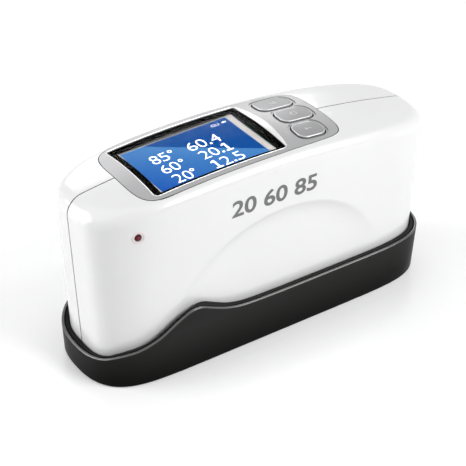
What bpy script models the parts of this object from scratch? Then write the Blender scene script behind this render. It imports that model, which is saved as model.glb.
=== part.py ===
"""Handheld three-angle gloss meter standing in its black calibration base."""
import math

import bmesh
import bpy
from mathutils import Matrix, Vector

# Case: outer sizes of the white housing, in metres
CASE_LENGTH = 0.1550
CASE_WIDTH = 0.0476
TAPER_ALONG = 0.0035
TAPER_ACROSS = 0.00275
CASE_TOP = 0.0802
CREST_X = -0.0082
ARCH_RADIUS = 0.3876
CROWN_RADIUS = 0.1131
SIDE_FILLET = 0.0034
END_FILLET = 0.0060
CASE_WALL = 0.0030
LEAST_FILLET = 0.0008
FOOT_SQUARENESS = 7.9
TOP_SQUARENESS = 4.7
SIDE_SQUARENESS = 3.25
FILLET_STEPS = 4
TOP_RINGS = (0.86, 0.68, 0.46, 0.22)

# Grip scoop pressed into each long side
SCOOP_X = 0.0010
SCOOP_HALF = 0.0500
SCOOP_BELOW_TOP = 0.0239
SCOOP_SPRING = 0.0100
SCOOP_SHALLOW = 0.0003
SCOOP_EDGE = 0.0008

# Calibration base
BASE_WALL = 0.0031
BASE_DRAFT = 0.0007
BASE_RIM = 0.0201
BASE_FLOOR = 0.0060
BASE_SQUARENESS = 8.4
BASE_SIDE_SQUARENESS = 2.41
BASE_EDGE = 0.0008
LIP_EDGE = 0.0005
# Height of the lip of the base against the distance from its left end, level from the last mark on
LIP_MARKS = ((0.0000, 0.0116), (0.0034, 0.0127), (0.0065, 0.0142), (0.0095, 0.0153), (0.0149, 0.0165),
             (0.0199, 0.0182), (0.0250, 0.0206), (0.0303, 0.0241), (0.0357, 0.0270), (0.0388, 0.0277),
             (0.0415, 0.0274), (0.0469, 0.0249), (0.0527, 0.0224), (0.0585, 0.0210), (0.0635, 0.0205),
             (0.0696, 0.0203), (0.0812, 0.0201))

# Silver top panel and the display window in it
PANEL_FROM_END = 0.0196
PANEL_LENGTH = 0.0890
PANEL_SIDE = 0.0038
PANEL_SQUARENESS = 8.0
PANEL_SIDE_SQUARENESS = 3.4
PANEL_KEY_SQUARENESS = 14.0
PANEL_KEY_SIDE_SQUARENESS = 6.0
PANEL_TAPER = 0.085
PANEL_THICK = 0.0012
PANEL_LEDGE = 0.0014
WINDOW_INSET = 0.0066
WINDOW_SIDE = 0.0027
KEY_FIELD = 0.0267
WINDOW_CORNER = 0.0012
WINDOW_THICK = 0.0010
WINDOW_SINK = 0.0005
BEZEL_EDGE = 0.0004
BEZEL_BOW = 0.0022

# Display module and its holder
LCD_INSET = 0.0025
LCD_SIDE = 0.0019
LCD_THICK = 0.0026
HOLDER_WALL = 0.0012

# Keys: a row across the panel, its middle key nearer the end of the panel, each with its length
KEY_NAMES = ("return", "enter", "mode")
KEY_LENGTHS = (0.0122, 0.0146, 0.0155)
KEY_BACK = 0.0124
KEY_BOW = 0.0016
KEY_MARGIN = 0.00275
KEY_SPACING = 0.0025
KEY_END_FLAT = 0.0026
KEY_PROUD = 0.0006
KEY_EDGE = 0.0006
KEY_FLANGE = 0.0010
KEY_FLANGE_THICK = 0.0008
KEY_TRAVEL = 0.0005
KEY_SLOT = 0.0004
SWITCH_SIDE = 0.0060
SWITCH_HEIGHT = 0.0032
PLUNGER_RADIUS = 0.0015
PLUNGER_HEIGHT = 0.0020
PLUNGER_SHOWS = 0.0010

# Main board
BOARD_LEFT = 0.0021
BOARD_RIGHT = 0.0089
BOARD_SIDE = 0.0038
BOARD_THICK = 0.0016
BOARD_CORNER = 0.0030

# Floor plate with the measuring slot
PLATE_THICK = 0.0020
SLOT_LENGTH = 0.0600
SLOT_WIDTH = 0.0120
SLOT_CORNER = 0.0036

# Optics: each channel's angle from the upright and how deep its lens sits in the block
BLOCK_FROM_BOSS = 0.0043
BLOCK_WIDTH = 0.0240
BLOCK_SLOPE = 0.0330
BLOCK_SHOULDER = 0.0110
BLOCK_EDGE = 0.0006
CHANNELS = ((20.0, 0.0126), (60.0, 0.0113), (85.0, 0.0076))
CHANNEL_RADIUS = 0.0033
CHANNEL_FLOOR = 0.0004
LENS_THICK = 0.0016
LENS_FRONT = ((0.0, 0.50), (0.6, 0.42), (1.0, 0.18))
LENS_BACK = 0.3
LAMP_LENGTH = 0.0050
DETECTOR_LENGTH = 0.0030

# Power
CELL_RADIUS = 0.0090
CELL_LENGTH = 0.0650
CELL_X = -0.0060
CELL_ROOM = 0.0020
CELL_EDGE = 0.0008
CRADLE_WALL = 0.0012
CRADLE_REACH = 0.8
SOCKET_LENGTH = 0.0070
SOCKET_WIDTH = 0.0090
SOCKET_HEIGHT = 0.0033
SOCKET_SHELL = 0.0006
SOCKET_SINK = 0.0009
SOCKET_Z = 0.0400
CHARGE_BOARD = 0.0120
CHARGE_INSET = 0.0012
CHARGE_BOARD_THICK = 0.0012

# Status lamp in the front wall
STATUS_FROM_END = 0.0164
STATUS_BELOW_TOP = 0.0157
STATUS_RADIUS = 0.0015
STATUS_LENGTH = 0.0050
STATUS_DOME = 0.0008

# Fastenings
BOSS_RADIUS = 0.0032
BOSS_FROM_END = 0.0120
BOSS_ABOVE_FOOT = 0.0154
BOSS_BELOW_TOP = 0.0202
HEAD_RADIUS = 0.0021
HEAD_THICK = 0.0014
SHANK_RADIUS = 0.0008
HEAD_CROWN = ((0.6, 0.92), (0.92, 0.55))
SHANK_POINT = 0.9
CASE_SCREW_LENGTH = 0.0160
PLATE_SCREW_LENGTH = 0.0070
PLATE_SCREW_INSET = 0.0080
PLATE_SCREW_SIDE = 0.0030
HEAD_SINK = 0.0060

# Calibration tile in the base
TILE_LENGTH = 0.0400
TILE_WIDTH = 0.0220
TILE_THICK = 0.0026
PAD_THICK = 0.0005
RETAINER_THICK = 0.0006
RETAINER_END = 0.0070
RETAINER_SIDE = 0.0025
RETAINER_CORNER = 0.0020
RETAINER_OVERLAP = 0.0020
RETAINER_SCREW_LENGTH = 0.0026

# Clearances
FIT = 0.0003
BASE_FIT = 0.0004
REACH = 0.0500
WELD = 0.00003
TINY = 0.00001
TURN_WEIGHT = 0.6
OUTLINE_SAMPLES = 1200
QUARTER = 22
SCREW_STEPS = 12

# Sizes that follow from those above
FOOT_Z = BASE_FLOOR + FIT
SHELL_Z = FOOT_Z + PLATE_THICK + FIT
CASE_END = CASE_LENGTH / 2
PANEL_WIDTH = CASE_WIDTH - 2 * PANEL_SIDE
PANEL_LEFT = PANEL_FROM_END - CASE_END
PANEL_RIGHT = PANEL_LEFT + PANEL_LENGTH
PANEL_CENTRE = (PANEL_LEFT + PANEL_RIGHT) / 2
WINDOW_LENGTH = PANEL_LENGTH - WINDOW_INSET - KEY_FIELD
WINDOW_WIDTH = PANEL_WIDTH - 2 * WINDOW_SIDE
WINDOW_CENTRE = PANEL_LEFT + WINDOW_INSET + WINDOW_LENGTH / 2
LCD_LENGTH = WINDOW_LENGTH - 2 * LCD_INSET
LCD_WIDTH = WINDOW_WIDTH - 2 * LCD_SIDE
KEY_PITCH = (PANEL_WIDTH - 2 * KEY_MARGIN) / len(KEY_NAMES)
KEY_WIDTH = KEY_PITCH - KEY_SPACING
KEY_CORNER = (KEY_WIDTH - KEY_END_FLAT) / 2
BOARD_LENGTH = PANEL_LENGTH + BOARD_LEFT + BOARD_RIGHT
BOARD_CENTRE = PANEL_CENTRE + (BOARD_RIGHT - BOARD_LEFT) / 2
BOARD_WIDTH = CASE_WIDTH - 2 * (CASE_WALL + BOARD_SIDE)
BOSS_X = CASE_END - BOSS_FROM_END
BOSS_LOW = SHELL_Z + BOSS_ABOVE_FOOT
BOSS_HIGH = CASE_TOP - BOSS_BELOW_TOP
BLOCK_END = BOSS_X - BOSS_RADIUS - BLOCK_FROM_BOSS
STATUS_X = STATUS_FROM_END - CASE_END
STATUS_Z = CASE_TOP - STATUS_BELOW_TOP


def bare_scene():
    """Starts from nothing."""
    for item in list(bpy.data.objects):
        bpy.data.objects.remove(item, do_unlink=True)


def collection(name):
    group = bpy.data.collections.new(name)
    bpy.context.scene.collection.children.link(group)
    return group


def material(name, colour, roughness, metallic=0.0):
    made = bpy.data.materials.new(name)
    made.use_nodes = True
    shader = made.node_tree.nodes["Principled BSDF"]
    shader.inputs["Base Color"].default_value = (*colour, 1.0)
    shader.inputs["Roughness"].default_value = roughness
    shader.inputs["Metallic"].default_value = metallic
    made.diffuse_color = (*colour, 1.0)
    return made


bare_scene()
PARTS = collection("gloss_meter")
CUTTERS = collection("cutters")

WHITE = material("gloss_white_plastic", (0.86, 0.86, 0.87), 0.22)
SILVER = material("silver_painted_plastic", (0.42, 0.42, 0.43), 0.38, 0.55)
KEY_GREY = material("grey_key_plastic", (0.38, 0.38, 0.39), 0.42, 0.30)
BLACK = material("satin_black_plastic", (0.022, 0.022, 0.023), 0.42)
DARK = material("dark_moulding", (0.035, 0.035, 0.038), 0.60)
GLASS = material("window_glass", (0.05, 0.06, 0.07), 0.06)
SCREEN = material("blue_display", (0.035, 0.16, 0.50), 0.25)
BOARD = material("green_board", (0.02, 0.16, 0.07), 0.45)
STEEL = material("zinc_steel", (0.55, 0.56, 0.57), 0.32, 1.0)
OPTIC = material("clear_optic", (0.75, 0.80, 0.84), 0.05)
LAMP = material("lamp_epoxy", (0.85, 0.80, 0.55), 0.18)
SENSOR = material("sensor_can", (0.30, 0.28, 0.24), 0.35, 0.8)
CELL = material("cell_sleeve", (0.05, 0.20, 0.42), 0.40)
RED = material("red_lamp_lens", (0.42, 0.012, 0.012), 0.15)
TILE = material("black_tile_glass", (0.008, 0.008, 0.010), 0.03)
FOAM = material("foam_pad", (0.06, 0.06, 0.06), 0.95)
SWITCH = material("switch_moulding", (0.06, 0.06, 0.065), 0.50)
PLUNGER = material("switch_plunger_plastic", (0.70, 0.68, 0.62), 0.45)


def place(name, mesh, group, slot=None):
    item = bpy.data.objects.new(name, mesh)
    group.objects.link(item)
    if group is CUTTERS:
        item.hide_render = True
        item.display_type = "WIRE"
    if slot is not None and not mesh.materials:
        mesh.materials.append(slot)
    return item


def smooth(item, degrees=32.0):
    item.data.shade_smooth()
    item.data.set_sharp_from_angle(angle=math.radians(degrees))
    return item


def boolean(item, other, operation="DIFFERENCE"):
    step = item.modifiers.new(other.name, "BOOLEAN")
    step.operation = operation
    step.solver = "EXACT"
    step.object = other
    return item


def weld(item):
    """Joins the points that cuts leave nearly together."""
    step = item.modifiers.new("weld", "WELD")
    step.merge_threshold = WELD
    return item


def bevel(item, width, segments=2, degrees=50.0):
    step = item.modifiers.new("edge", "BEVEL")
    step.width = width
    step.segments = segments
    step.limit_method = "ANGLE"
    step.angle_limit = math.radians(degrees)
    return item


def quarter_outline(half_length, half_width, power_x, power_y, count):
    """A quarter of the plan outline, from the end to the side, spaced by length and by turn."""
    raw = []
    for step in range(OUTLINE_SAMPLES + 1):
        angle = math.pi / 2 * step / OUTLINE_SAMPLES
        raw.append(Vector((half_length * math.cos(angle) ** (2 / power_x),
                           half_width * math.sin(angle) ** (2 / power_y))))
    measure = [0.0]
    heading = None
    for first, second in zip(raw, raw[1:]):
        step = second - first
        turn = 0.0 if heading is None or step.length < 1e-9 else abs(heading.angle(step))
        if step.length > 1e-9:
            heading = step
        measure.append(measure[-1] + step.length + turn * half_width * TURN_WEIGHT)
    picked = []
    index = 0
    for share in range(count + 1):
        wanted = measure[-1] * share / count
        while index < OUTLINE_SAMPLES - 1 and measure[index + 1] < wanted:
            index += 1
        span = max(measure[index + 1] - measure[index], 1e-12)
        picked.append(raw[index].lerp(raw[index + 1], min((wanted - measure[index]) / span, 1.0)))
    return picked


def plan_outline(length, width, power_x, power_y, count=QUARTER):
    """The whole plan outline, anticlockwise from the right end."""
    part = quarter_outline(length / 2, width / 2, power_x, power_y, count)
    right = [Vector((p.x, p.y)) for p in part]
    left = [Vector((-p.x, p.y)) for p in reversed(part[:-1])]
    upper = right + left
    lower = [Vector((p.x, -p.y)) for p in reversed(upper[1:-1])]
    return upper + lower


def rounded_outline(length, width, radius, steps=4):
    """A rectangle with rounded corners, anticlockwise."""
    points = []
    for turn, (side_x, side_y) in enumerate(((1, 1), (-1, 1), (-1, -1), (1, -1))):
        middle = Vector((side_x * (length / 2 - radius), side_y * (width / 2 - radius)))
        for step in range(steps + 1):
            angle = math.pi / 2 * (turn + step / steps)
            points.append(middle + Vector((math.cos(angle), math.sin(angle))) * radius)
    return points


def top_height(x, y):
    """Height of the arched and crowned top of the case."""
    return CASE_TOP - (x - CREST_X) ** 2 / (2 * ARCH_RADIUS) - y ** 2 / (2 * CROWN_RADIUS)


def case_share(z):
    return (z - FOOT_Z) / (CASE_TOP - FOOT_Z)


def case_section(z):
    """Half length, half width and squareness of the case at one height."""
    drop = 1 - case_share(z)
    power = TOP_SQUARENESS + (FOOT_SQUARENESS - TOP_SQUARENESS) * drop
    return CASE_LENGTH / 2 - TAPER_ALONG * drop, CASE_WIDTH / 2 - TAPER_ACROSS * drop, power


def case_outline(z, grow=0.0, count=QUARTER):
    """Plan outline of the case at one height, larger by grow all round."""
    half_length, half_width, power = case_section(z)
    return plan_outline(2 * (half_length + grow), 2 * (half_width + grow), power, SIDE_SQUARENESS, count)


def loft(name, rings, group, slot=None):
    """A closed solid through rings of equal count, capped at both ends."""
    made = bmesh.new()
    rows = [[made.verts.new(point) for point in ring] for ring in rings]
    count = len(rows[0])
    for low, high in zip(rows, rows[1:]):
        for i in range(count):
            j = (i + 1) % count
            made.faces.new((low[i], low[j], high[j], high[i]))
    made.faces.new(list(reversed(rows[0])))
    made.faces.new(rows[-1])
    bmesh.ops.recalc_face_normals(made, faces=made.faces)
    mesh = bpy.data.meshes.new(name)
    made.to_mesh(mesh)
    made.free()
    return place(name, mesh, group, slot)


def case_solid(name, inset, z_low, group, slot=None, count=QUARTER):
    """The body of the case, or its inside when inset is the wall."""
    low = case_outline(z_low, -inset, count)
    shoulder = case_outline(CASE_TOP - END_FILLET, -inset, count)
    low_share = case_share(z_low)
    high_share = case_share(CASE_TOP - END_FILLET)
    total = len(shoulder)
    side = max(SIDE_FILLET - inset, LEAST_FILLET)
    end = max(END_FILLET - inset, LEAST_FILLET)
    half = max(p.x for p in shoulder)
    radii = [side + (end - side) * (abs(p.x) / half) ** 6 for p in shoulder]
    inward = []
    for i in range(total):
        along = shoulder[(i + 1) % total] - shoulder[i - 1]
        inward.append(Vector((-along.y, along.x)).normalized())
    starts = [top_height(p.x, p.y) - inset - radii[i] for i, p in enumerate(shoulder)]

    def wall_point(i, z):
        share = (case_share(z) - low_share) / (high_share - low_share)
        flat = low[i].lerp(shoulder[i], share)
        return Vector((flat.x, flat.y, z))

    rings = [[wall_point(i, z_low) for i in range(total)]]
    for part in (0.45, 1.0):
        rings.append([wall_point(i, z_low + (starts[i] - z_low) * part) for i in range(total)])
    edge = [wall_point(i, starts[i]) for i in range(total)]
    for step in range(1, FILLET_STEPS + 1):
        angle = math.pi / 2 * step / FILLET_STEPS
        ring = []
        for i in range(total):
            move = inward[i] * radii[i] * (1 - math.cos(angle))
            x, y = edge[i].x + move.x, edge[i].y + move.y
            ring.append(Vector((x, y, top_height(x, y) - inset - radii[i] * (1 - math.sin(angle)))))
        rings.append(ring)
    last = rings[-1]
    for scale in TOP_RINGS:
        rings.append([Vector((p.x * scale, p.y * scale, top_height(p.x * scale, p.y * scale) - inset))
                      for p in last])
    return smooth(loft(name, rings, group, slot))


def crowned_plate(name, outline, centre_x, high, thick, group, slot=None, rings=(0.75, 0.45, 0.15)):
    """A plate that follows the top of the case, high above it or below it when negative."""
    def ring(scale, lift):
        points = []
        for p in outline:
            x = centre_x + p.x * scale
            y = p.y * scale
            points.append(Vector((x, y, top_height(x, y) + lift)))
        return points
    below = [ring(scale, high - thick) for scale in reversed(rings)]
    above = [ring(scale, high) for scale in rings]
    return loft(name, below + [ring(1.0, high - thick), ring(1.0, high)] + above, group, slot)


def slab(name, outline, z_low, z_high, group, slot=None, centre=(0.0, 0.0)):
    """A flat piece from a plan outline."""
    curve = bpy.data.curves.new(name, "CURVE")
    curve.dimensions = "2D"
    curve.fill_mode = "BOTH"
    curve.extrude = (z_high - z_low) / 2
    spline = curve.splines.new("POLY")
    spline.points.add(len(outline) - 1)
    for knot, point in zip(spline.points, outline):
        knot.co = (point.x, point.y, 0.0, 1.0)
    spline.use_cyclic_u = True
    drawn = bpy.data.objects.new(name + "_outline", curve)
    bpy.context.scene.collection.objects.link(drawn)
    drawn.location = (centre[0], centre[1], (z_low + z_high) / 2)
    bpy.context.view_layer.update()
    mesh = bpy.data.meshes.new_from_object(drawn.evaluated_get(bpy.context.evaluated_depsgraph_get()))
    clean = bmesh.new()
    clean.from_mesh(mesh)
    bmesh.ops.remove_doubles(clean, verts=clean.verts, dist=TINY)
    bmesh.ops.recalc_face_normals(clean, faces=clean.faces)
    clean.to_mesh(mesh)
    clean.free()
    mesh.name = name
    item = place(name, mesh, group, slot)
    item.matrix_world = drawn.matrix_world.copy()
    bpy.data.objects.remove(drawn, do_unlink=True)
    return item


def box(name, size, centre, group, slot=None):
    made = bmesh.new()
    bmesh.ops.create_cube(made, size=1.0, matrix=Matrix.Diagonal((*size, 1.0)))
    mesh = bpy.data.meshes.new(name)
    made.to_mesh(mesh)
    made.free()
    item = place(name, mesh, group, slot)
    item.location = centre
    return item


def rod(name, radius, length, centre, group, slot=None, direction=(0.0, 0.0, 1.0), sides=20):
    """A cylinder about a direction."""
    made = bmesh.new()
    bmesh.ops.create_cone(made, cap_ends=True, segments=sides, radius1=radius, radius2=radius, depth=length)
    mesh = bpy.data.meshes.new(name)
    made.to_mesh(mesh)
    made.free()
    item = place(name, mesh, group, slot)
    item.matrix_world = Matrix.Translation(centre) @ aim(direction)
    return smooth(item)


def aim(direction):
    """Turns the upright axis to a direction."""
    return Vector(direction).to_track_quat("Z", "Y").to_matrix().to_4x4()


def turn_about(item, steps):
    step = item.modifiers.new("turn", "SCREW")
    step.steps = steps
    step.render_steps = steps
    step.use_merge_vertices = True
    step.merge_threshold = TINY
    step.use_smooth_shade = True
    return item


def turned(name, profile, group, slot=None, steps=20):
    """A turned piece: the profile is radius and height, outer side from top to bottom."""
    mesh = bpy.data.meshes.new(name)
    verts = [(radius, 0.0, height) for radius, height in profile]
    mesh.from_pydata(verts, [(i, i + 1) for i in range(len(verts) - 1)], [])
    return turn_about(place(name, mesh, group, slot), steps)


# Outer and inner solids of the case
case_inner = case_solid("case_inner", CASE_WALL, SHELL_Z - REACH, CUTTERS, count=16)
for end_side in (-1, 1):
    for level in (BOSS_LOW, BOSS_HIGH):
        boss = rod("boss_%d_%d" % (end_side, round(level * 1000)), BOSS_RADIUS, CASE_WIDTH * 2,
                   (end_side * BOSS_X, 0.0, level), CUTTERS, direction=(0, 1, 0))
        boolean(case_inner, boss)

half_size = (CASE_LENGTH * 2, REACH, CASE_TOP * 3)
half_middle = (REACH - FIT) / 2
half_front = box("half_front", half_size, (0, -half_middle, CASE_TOP / 2), CUTTERS)
half_rear = box("half_rear", half_size, (0, half_middle, CASE_TOP / 2), CUTTERS)


def panel_outline(grow=0.0, count=14):
    """Outline of the panel: round at the left end, squarer and a little narrower at the keys."""
    half_length = PANEL_LENGTH / 2 + grow
    half_width = PANEL_WIDTH / 2 + grow
    left = quarter_outline(half_length, half_width, PANEL_SQUARENESS, PANEL_SIDE_SQUARENESS, count)
    keys = quarter_outline(half_length, half_width, PANEL_KEY_SQUARENESS, PANEL_KEY_SIDE_SQUARENESS, count)
    keys = [Vector((p.x, p.y * (1 - PANEL_TAPER * (p.x / half_length) ** 2))) for p in keys]
    upper = keys + [Vector((-p.x, p.y)) for p in reversed(left[:-1])]
    return upper + [Vector((p.x, -p.y)) for p in reversed(upper[1:-1])]


panel_recess = crowned_plate("panel_recess", panel_outline(FIT), PANEL_CENTRE, PANEL_THICK * 4,
                             PANEL_THICK * 5 + FIT, CUTTERS)
panel_opening = slab("panel_opening", panel_outline(-PANEL_LEDGE), CASE_TOP - REACH / 4, CASE_TOP + REACH / 2,
                     CUTTERS, centre=(PANEL_CENTRE, 0.0))
boolean(panel_recess, panel_opening, "UNION")


def scoop(name, side):
    """The arched grip cut, with its flat face standing inside the wall."""
    outline = []
    rise = CASE_TOP - SCOOP_BELOW_TOP - SCOOP_SPRING
    for step in range(33):
        angle = math.pi * step / 32
        outline.append(Vector((SCOOP_HALF * math.cos(angle), rise * math.sin(angle))))
    outline += [Vector((-SCOOP_HALF, -rise)), Vector((SCOOP_HALF, -rise))]
    cutter = slab(name, outline, 0.0, CASE_WIDTH, CUTTERS)
    plane = case_section(BASE_RIM)[1] - SCOOP_SHALLOW
    turn = Matrix.Rotation(math.radians(90), 4, "X")
    middle = side * (plane + CASE_WIDTH / 2)
    cutter.matrix_world = Matrix.Translation((SCOOP_X, middle, SCOOP_SPRING)) @ turn
    return bevel(cutter, SCOOP_EDGE)


scoop_front = scoop("scoop_front", -1)
scoop_rear = scoop("scoop_rear", 1)


def wall_point(x, z, side):
    """Point on the outer wall and its outward direction in plan."""
    half_length, half_width, power = case_section(z)
    ratio = abs(x) / half_length
    y = half_width * (1 - ratio ** power) ** (1 / SIDE_SQUARENESS)
    slope_x = power / half_length * ratio ** (power - 1)
    slope_y = SIDE_SQUARENESS / half_width * (y / half_width) ** (SIDE_SQUARENESS - 1)
    out = Vector((math.copysign(slope_x, x), side * slope_y, 0.0)).normalized()
    return Vector((x, side * y, z)), out


status_point, status_out = wall_point(STATUS_X, STATUS_Z, -1)
status_hole = rod("status_hole", STATUS_RADIUS + FIT, CASE_WALL * 5, status_point, CUTTERS,
                  direction=status_out)
socket_wall = case_section(SOCKET_Z)[0]
socket_hole = box("socket_hole", (CASE_WALL * 4, SOCKET_WIDTH + 2 * FIT, SOCKET_HEIGHT + 2 * FIT),
                  (socket_wall, 0, SOCKET_Z), CUTTERS)

front_shell = case_solid("front_shell", 0.0, SHELL_Z, PARTS, WHITE)
rear_shell = place("rear_shell", front_shell.data, PARTS)
for shell, half, grip in ((front_shell, half_rear, scoop_front), (rear_shell, half_front, scoop_rear)):
    boolean(shell, case_inner)
    weld(shell)
    boolean(shell, half)
    weld(shell)
    boolean(shell, panel_recess)
    weld(shell)
    boolean(shell, grip)
    boolean(shell, socket_hole)
boolean(front_shell, status_hole)

# Case screws enter from the rear into the front bosses
head_seat = {}
for end_side in (-1, 1):
    for level in (BOSS_LOW, BOSS_HIGH):
        tag = "%d_%d" % (end_side, round(level * 1000))
        outer, _ = wall_point(BOSS_X + BOSS_RADIUS, level, 1)
        seat = outer.y - HEAD_SINK
        head_seat[(end_side, level)] = seat
        hole = rod("case_screw_hole_" + tag, SHANK_RADIUS + FIT, 2 * (CASE_SCREW_LENGTH + FIT),
                   (end_side * BOSS_X, seat, level), CUTTERS, direction=(0, 1, 0), sides=12)
        well = rod("case_screw_well_" + tag, HEAD_RADIUS + FIT, REACH,
                   (end_side * BOSS_X, seat + REACH / 2, level), CUTTERS, direction=(0, 1, 0), sides=20)
        boolean(front_shell, hole)
        boolean(rear_shell, hole)
        boolean(rear_shell, well)


weld(front_shell)
weld(rear_shell)


def screw(name, length, seat, direction, like=None):
    """A pan-head screw: its head seats at a point and its shank runs against the direction."""
    if like is None:
        crown = [(HEAD_RADIUS * across, HEAD_THICK * high) for across, high in HEAD_CROWN]
        profile = [(0.0, HEAD_THICK)] + crown + [(HEAD_RADIUS, 0.0), (SHANK_RADIUS, 0.0),
                                                 (SHANK_RADIUS, -length * SHANK_POINT), (0.0, -length)]
        made = turned(name, profile, PARTS, STEEL, steps=SCREW_STEPS)
    else:
        made = turn_about(place(name, like.data, PARTS), SCREW_STEPS)
    made.matrix_world = Matrix.Translation(seat) @ aim(direction)
    return made


case_screw = None
for number, (corner, seat) in enumerate(sorted(head_seat.items())):
    point = (corner[0] * BOSS_X, seat + FIT, corner[1])
    case_screw = screw("case_screw_%d" % (number + 1), CASE_SCREW_LENGTH, point, (0, 1, 0), case_screw)

# Silver panel, window and display
window_outline = rounded_outline(WINDOW_LENGTH, WINDOW_WIDTH, WINDOW_CORNER, 3)


def finer(outline, parts):
    """The same outline with its long sides divided."""
    points = []
    for first, second in zip(outline, outline[1:] + outline[:1]):
        cuts = parts if (second - first).length > WINDOW_WIDTH / 2 else 1
        points += [first.lerp(second, i / cuts) for i in range(cuts)]
    return points


top_panel = crowned_plate("top_panel", panel_outline(), PANEL_CENTRE, 0.0, PANEL_THICK, PARTS, SILVER)
window_cut = slab("window_cut", rounded_outline(WINDOW_LENGTH + 2 * FIT, WINDOW_WIDTH + 2 * FIT,
                                                WINDOW_CORNER + FIT, 3),
                  CASE_TOP - REACH / 2, CASE_TOP + REACH / 2, CUTTERS, centre=(WINDOW_CENTRE, 0.0))
boolean(top_panel, window_cut)


def bezel_ring(side, bow, lift):
    """The window's outline, wider by side all round and bowed out towards the keys."""
    ring = []
    outline = rounded_outline(WINDOW_LENGTH + 2 * side, WINDOW_WIDTH + 2 * side, WINDOW_CORNER + side, 3)
    for p in finer(outline, 7):
        rise = 1 - (2 * p.y / WINDOW_WIDTH) ** 2
        x = WINDOW_CENTRE + p.x + (bow * rise if p.x > 0 and rise > 0 else 0)
        ring.append(Vector((x, p.y, top_height(x, p.y) + lift)))
    return ring


# The sloped bezel rises from the window, with a crescent on the side of the keys
bezel_low = [bezel_ring(0.0, 0.0, lift) for lift in (-REACH / 4, -WINDOW_SINK)]
bezel_high = [bezel_ring(2 * BEZEL_EDGE, 2 * BEZEL_BOW, lift) for lift in (WINDOW_SINK, REACH / 4)]
boolean(top_panel, loft("bezel_cut", bezel_low + bezel_high, CUTTERS))

display_window = crowned_plate("display_window", finer(window_outline, 7), WINDOW_CENTRE, -WINDOW_SINK,
                               WINDOW_THICK, PARTS, GLASS, rings=(0.66, 0.33))

lcd_low = WINDOW_CENTRE - LCD_LENGTH / 2
lcd_high = WINDOW_CENTRE + LCD_LENGTH / 2
under_window = WINDOW_SINK + WINDOW_THICK + FIT
lcd_left = top_height(lcd_low, LCD_WIDTH / 2) - under_window
lcd_right = top_height(lcd_high, LCD_WIDTH / 2) - under_window
lcd_tilt = math.atan2(lcd_right - lcd_left, LCD_LENGTH)
lcd_top = (lcd_left + lcd_right) / 2
lcd_module = box("lcd_module", (LCD_LENGTH, LCD_WIDTH, LCD_THICK),
                 (WINDOW_CENTRE, 0, lcd_top - LCD_THICK / 2), PARTS, SCREEN)
lcd_module.rotation_euler = (0, -lcd_tilt, 0)

# Keys, each a cap with a flange under the panel and a stem to its switch
key_places = []
flange_tops = []
for row in range(len(KEY_NAMES)):
    across = row - (len(KEY_NAMES) - 1) / 2
    key_x = PANEL_RIGHT - KEY_BACK + KEY_BOW * (1 - abs(across))
    key_y = across * KEY_PITCH
    reach_x = KEY_LENGTHS[row] / 2 + KEY_FLANGE
    reach_y = KEY_WIDTH / 2
    corners = [top_height(key_x + i * reach_x, key_y + j * reach_y) for i in (-1, 1) for j in (-1, 1)]
    key_places.append((key_x, key_y))
    flange_tops.append(min(corners) - PANEL_THICK - FIT)
plunger_top = min(flange_tops) - KEY_FLANGE_THICK - FIT
switch_top = plunger_top - PLUNGER_SHOWS
board_top = switch_top - SWITCH_HEIGHT - FIT

for key_name, key_length, place_xy, flange_top in zip(KEY_NAMES, KEY_LENGTHS, key_places, flange_tops):
    key_x, key_y = place_xy
    slot_outline = rounded_outline(key_length + 2 * KEY_SLOT, KEY_WIDTH + 2 * KEY_SLOT, KEY_CORNER + KEY_SLOT)
    flange_outline = rounded_outline(key_length + 2 * KEY_FLANGE, KEY_WIDTH - 2 * FIT, KEY_CORNER)
    crown = top_height(key_x, key_y) + KEY_PROUD
    middle = flange_top - KEY_FLANGE_THICK / 2
    key_cut = slab(key_name + "_slot", slot_outline, CASE_TOP - REACH / 2, CASE_TOP + REACH / 2, CUTTERS,
                   centre=place_xy)
    boolean(top_panel, key_cut)
    cap = slab("key_" + key_name, rounded_outline(key_length, KEY_WIDTH, KEY_CORNER), middle, crown, PARTS,
               KEY_GREY, centre=place_xy)
    bevel(cap, KEY_EDGE, 3, 60.0)
    flange = slab(key_name + "_flange", flange_outline, flange_top - KEY_FLANGE_THICK, flange_top, CUTTERS,
                  centre=place_xy)
    boolean(cap, flange, "UNION")
    stem_low = plunger_top + FIT
    stem = rod(key_name + "_stem", PLUNGER_RADIUS, middle - stem_low, (key_x, key_y, (middle + stem_low) / 2),
               CUTTERS, sides=14)
    boolean(cap, stem, "UNION")
    switch_body = box("switch_" + key_name, (SWITCH_SIDE, SWITCH_SIDE, SWITCH_HEIGHT),
                      (key_x, key_y, switch_top - SWITCH_HEIGHT / 2), PARTS, SWITCH)
    well_depth = PLUNGER_HEIGHT - PLUNGER_SHOWS + KEY_TRAVEL + FIT
    well = rod(key_name + "_well", PLUNGER_RADIUS + FIT, well_depth * 2, (key_x, key_y, switch_top), CUTTERS,
               sides=14)
    boolean(switch_body, well)
    rod("plunger_" + key_name, PLUNGER_RADIUS, PLUNGER_HEIGHT,
        (key_x, key_y, plunger_top - PLUNGER_HEIGHT / 2), PARTS, PLUNGER, sides=14)

weld(top_panel)

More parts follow.
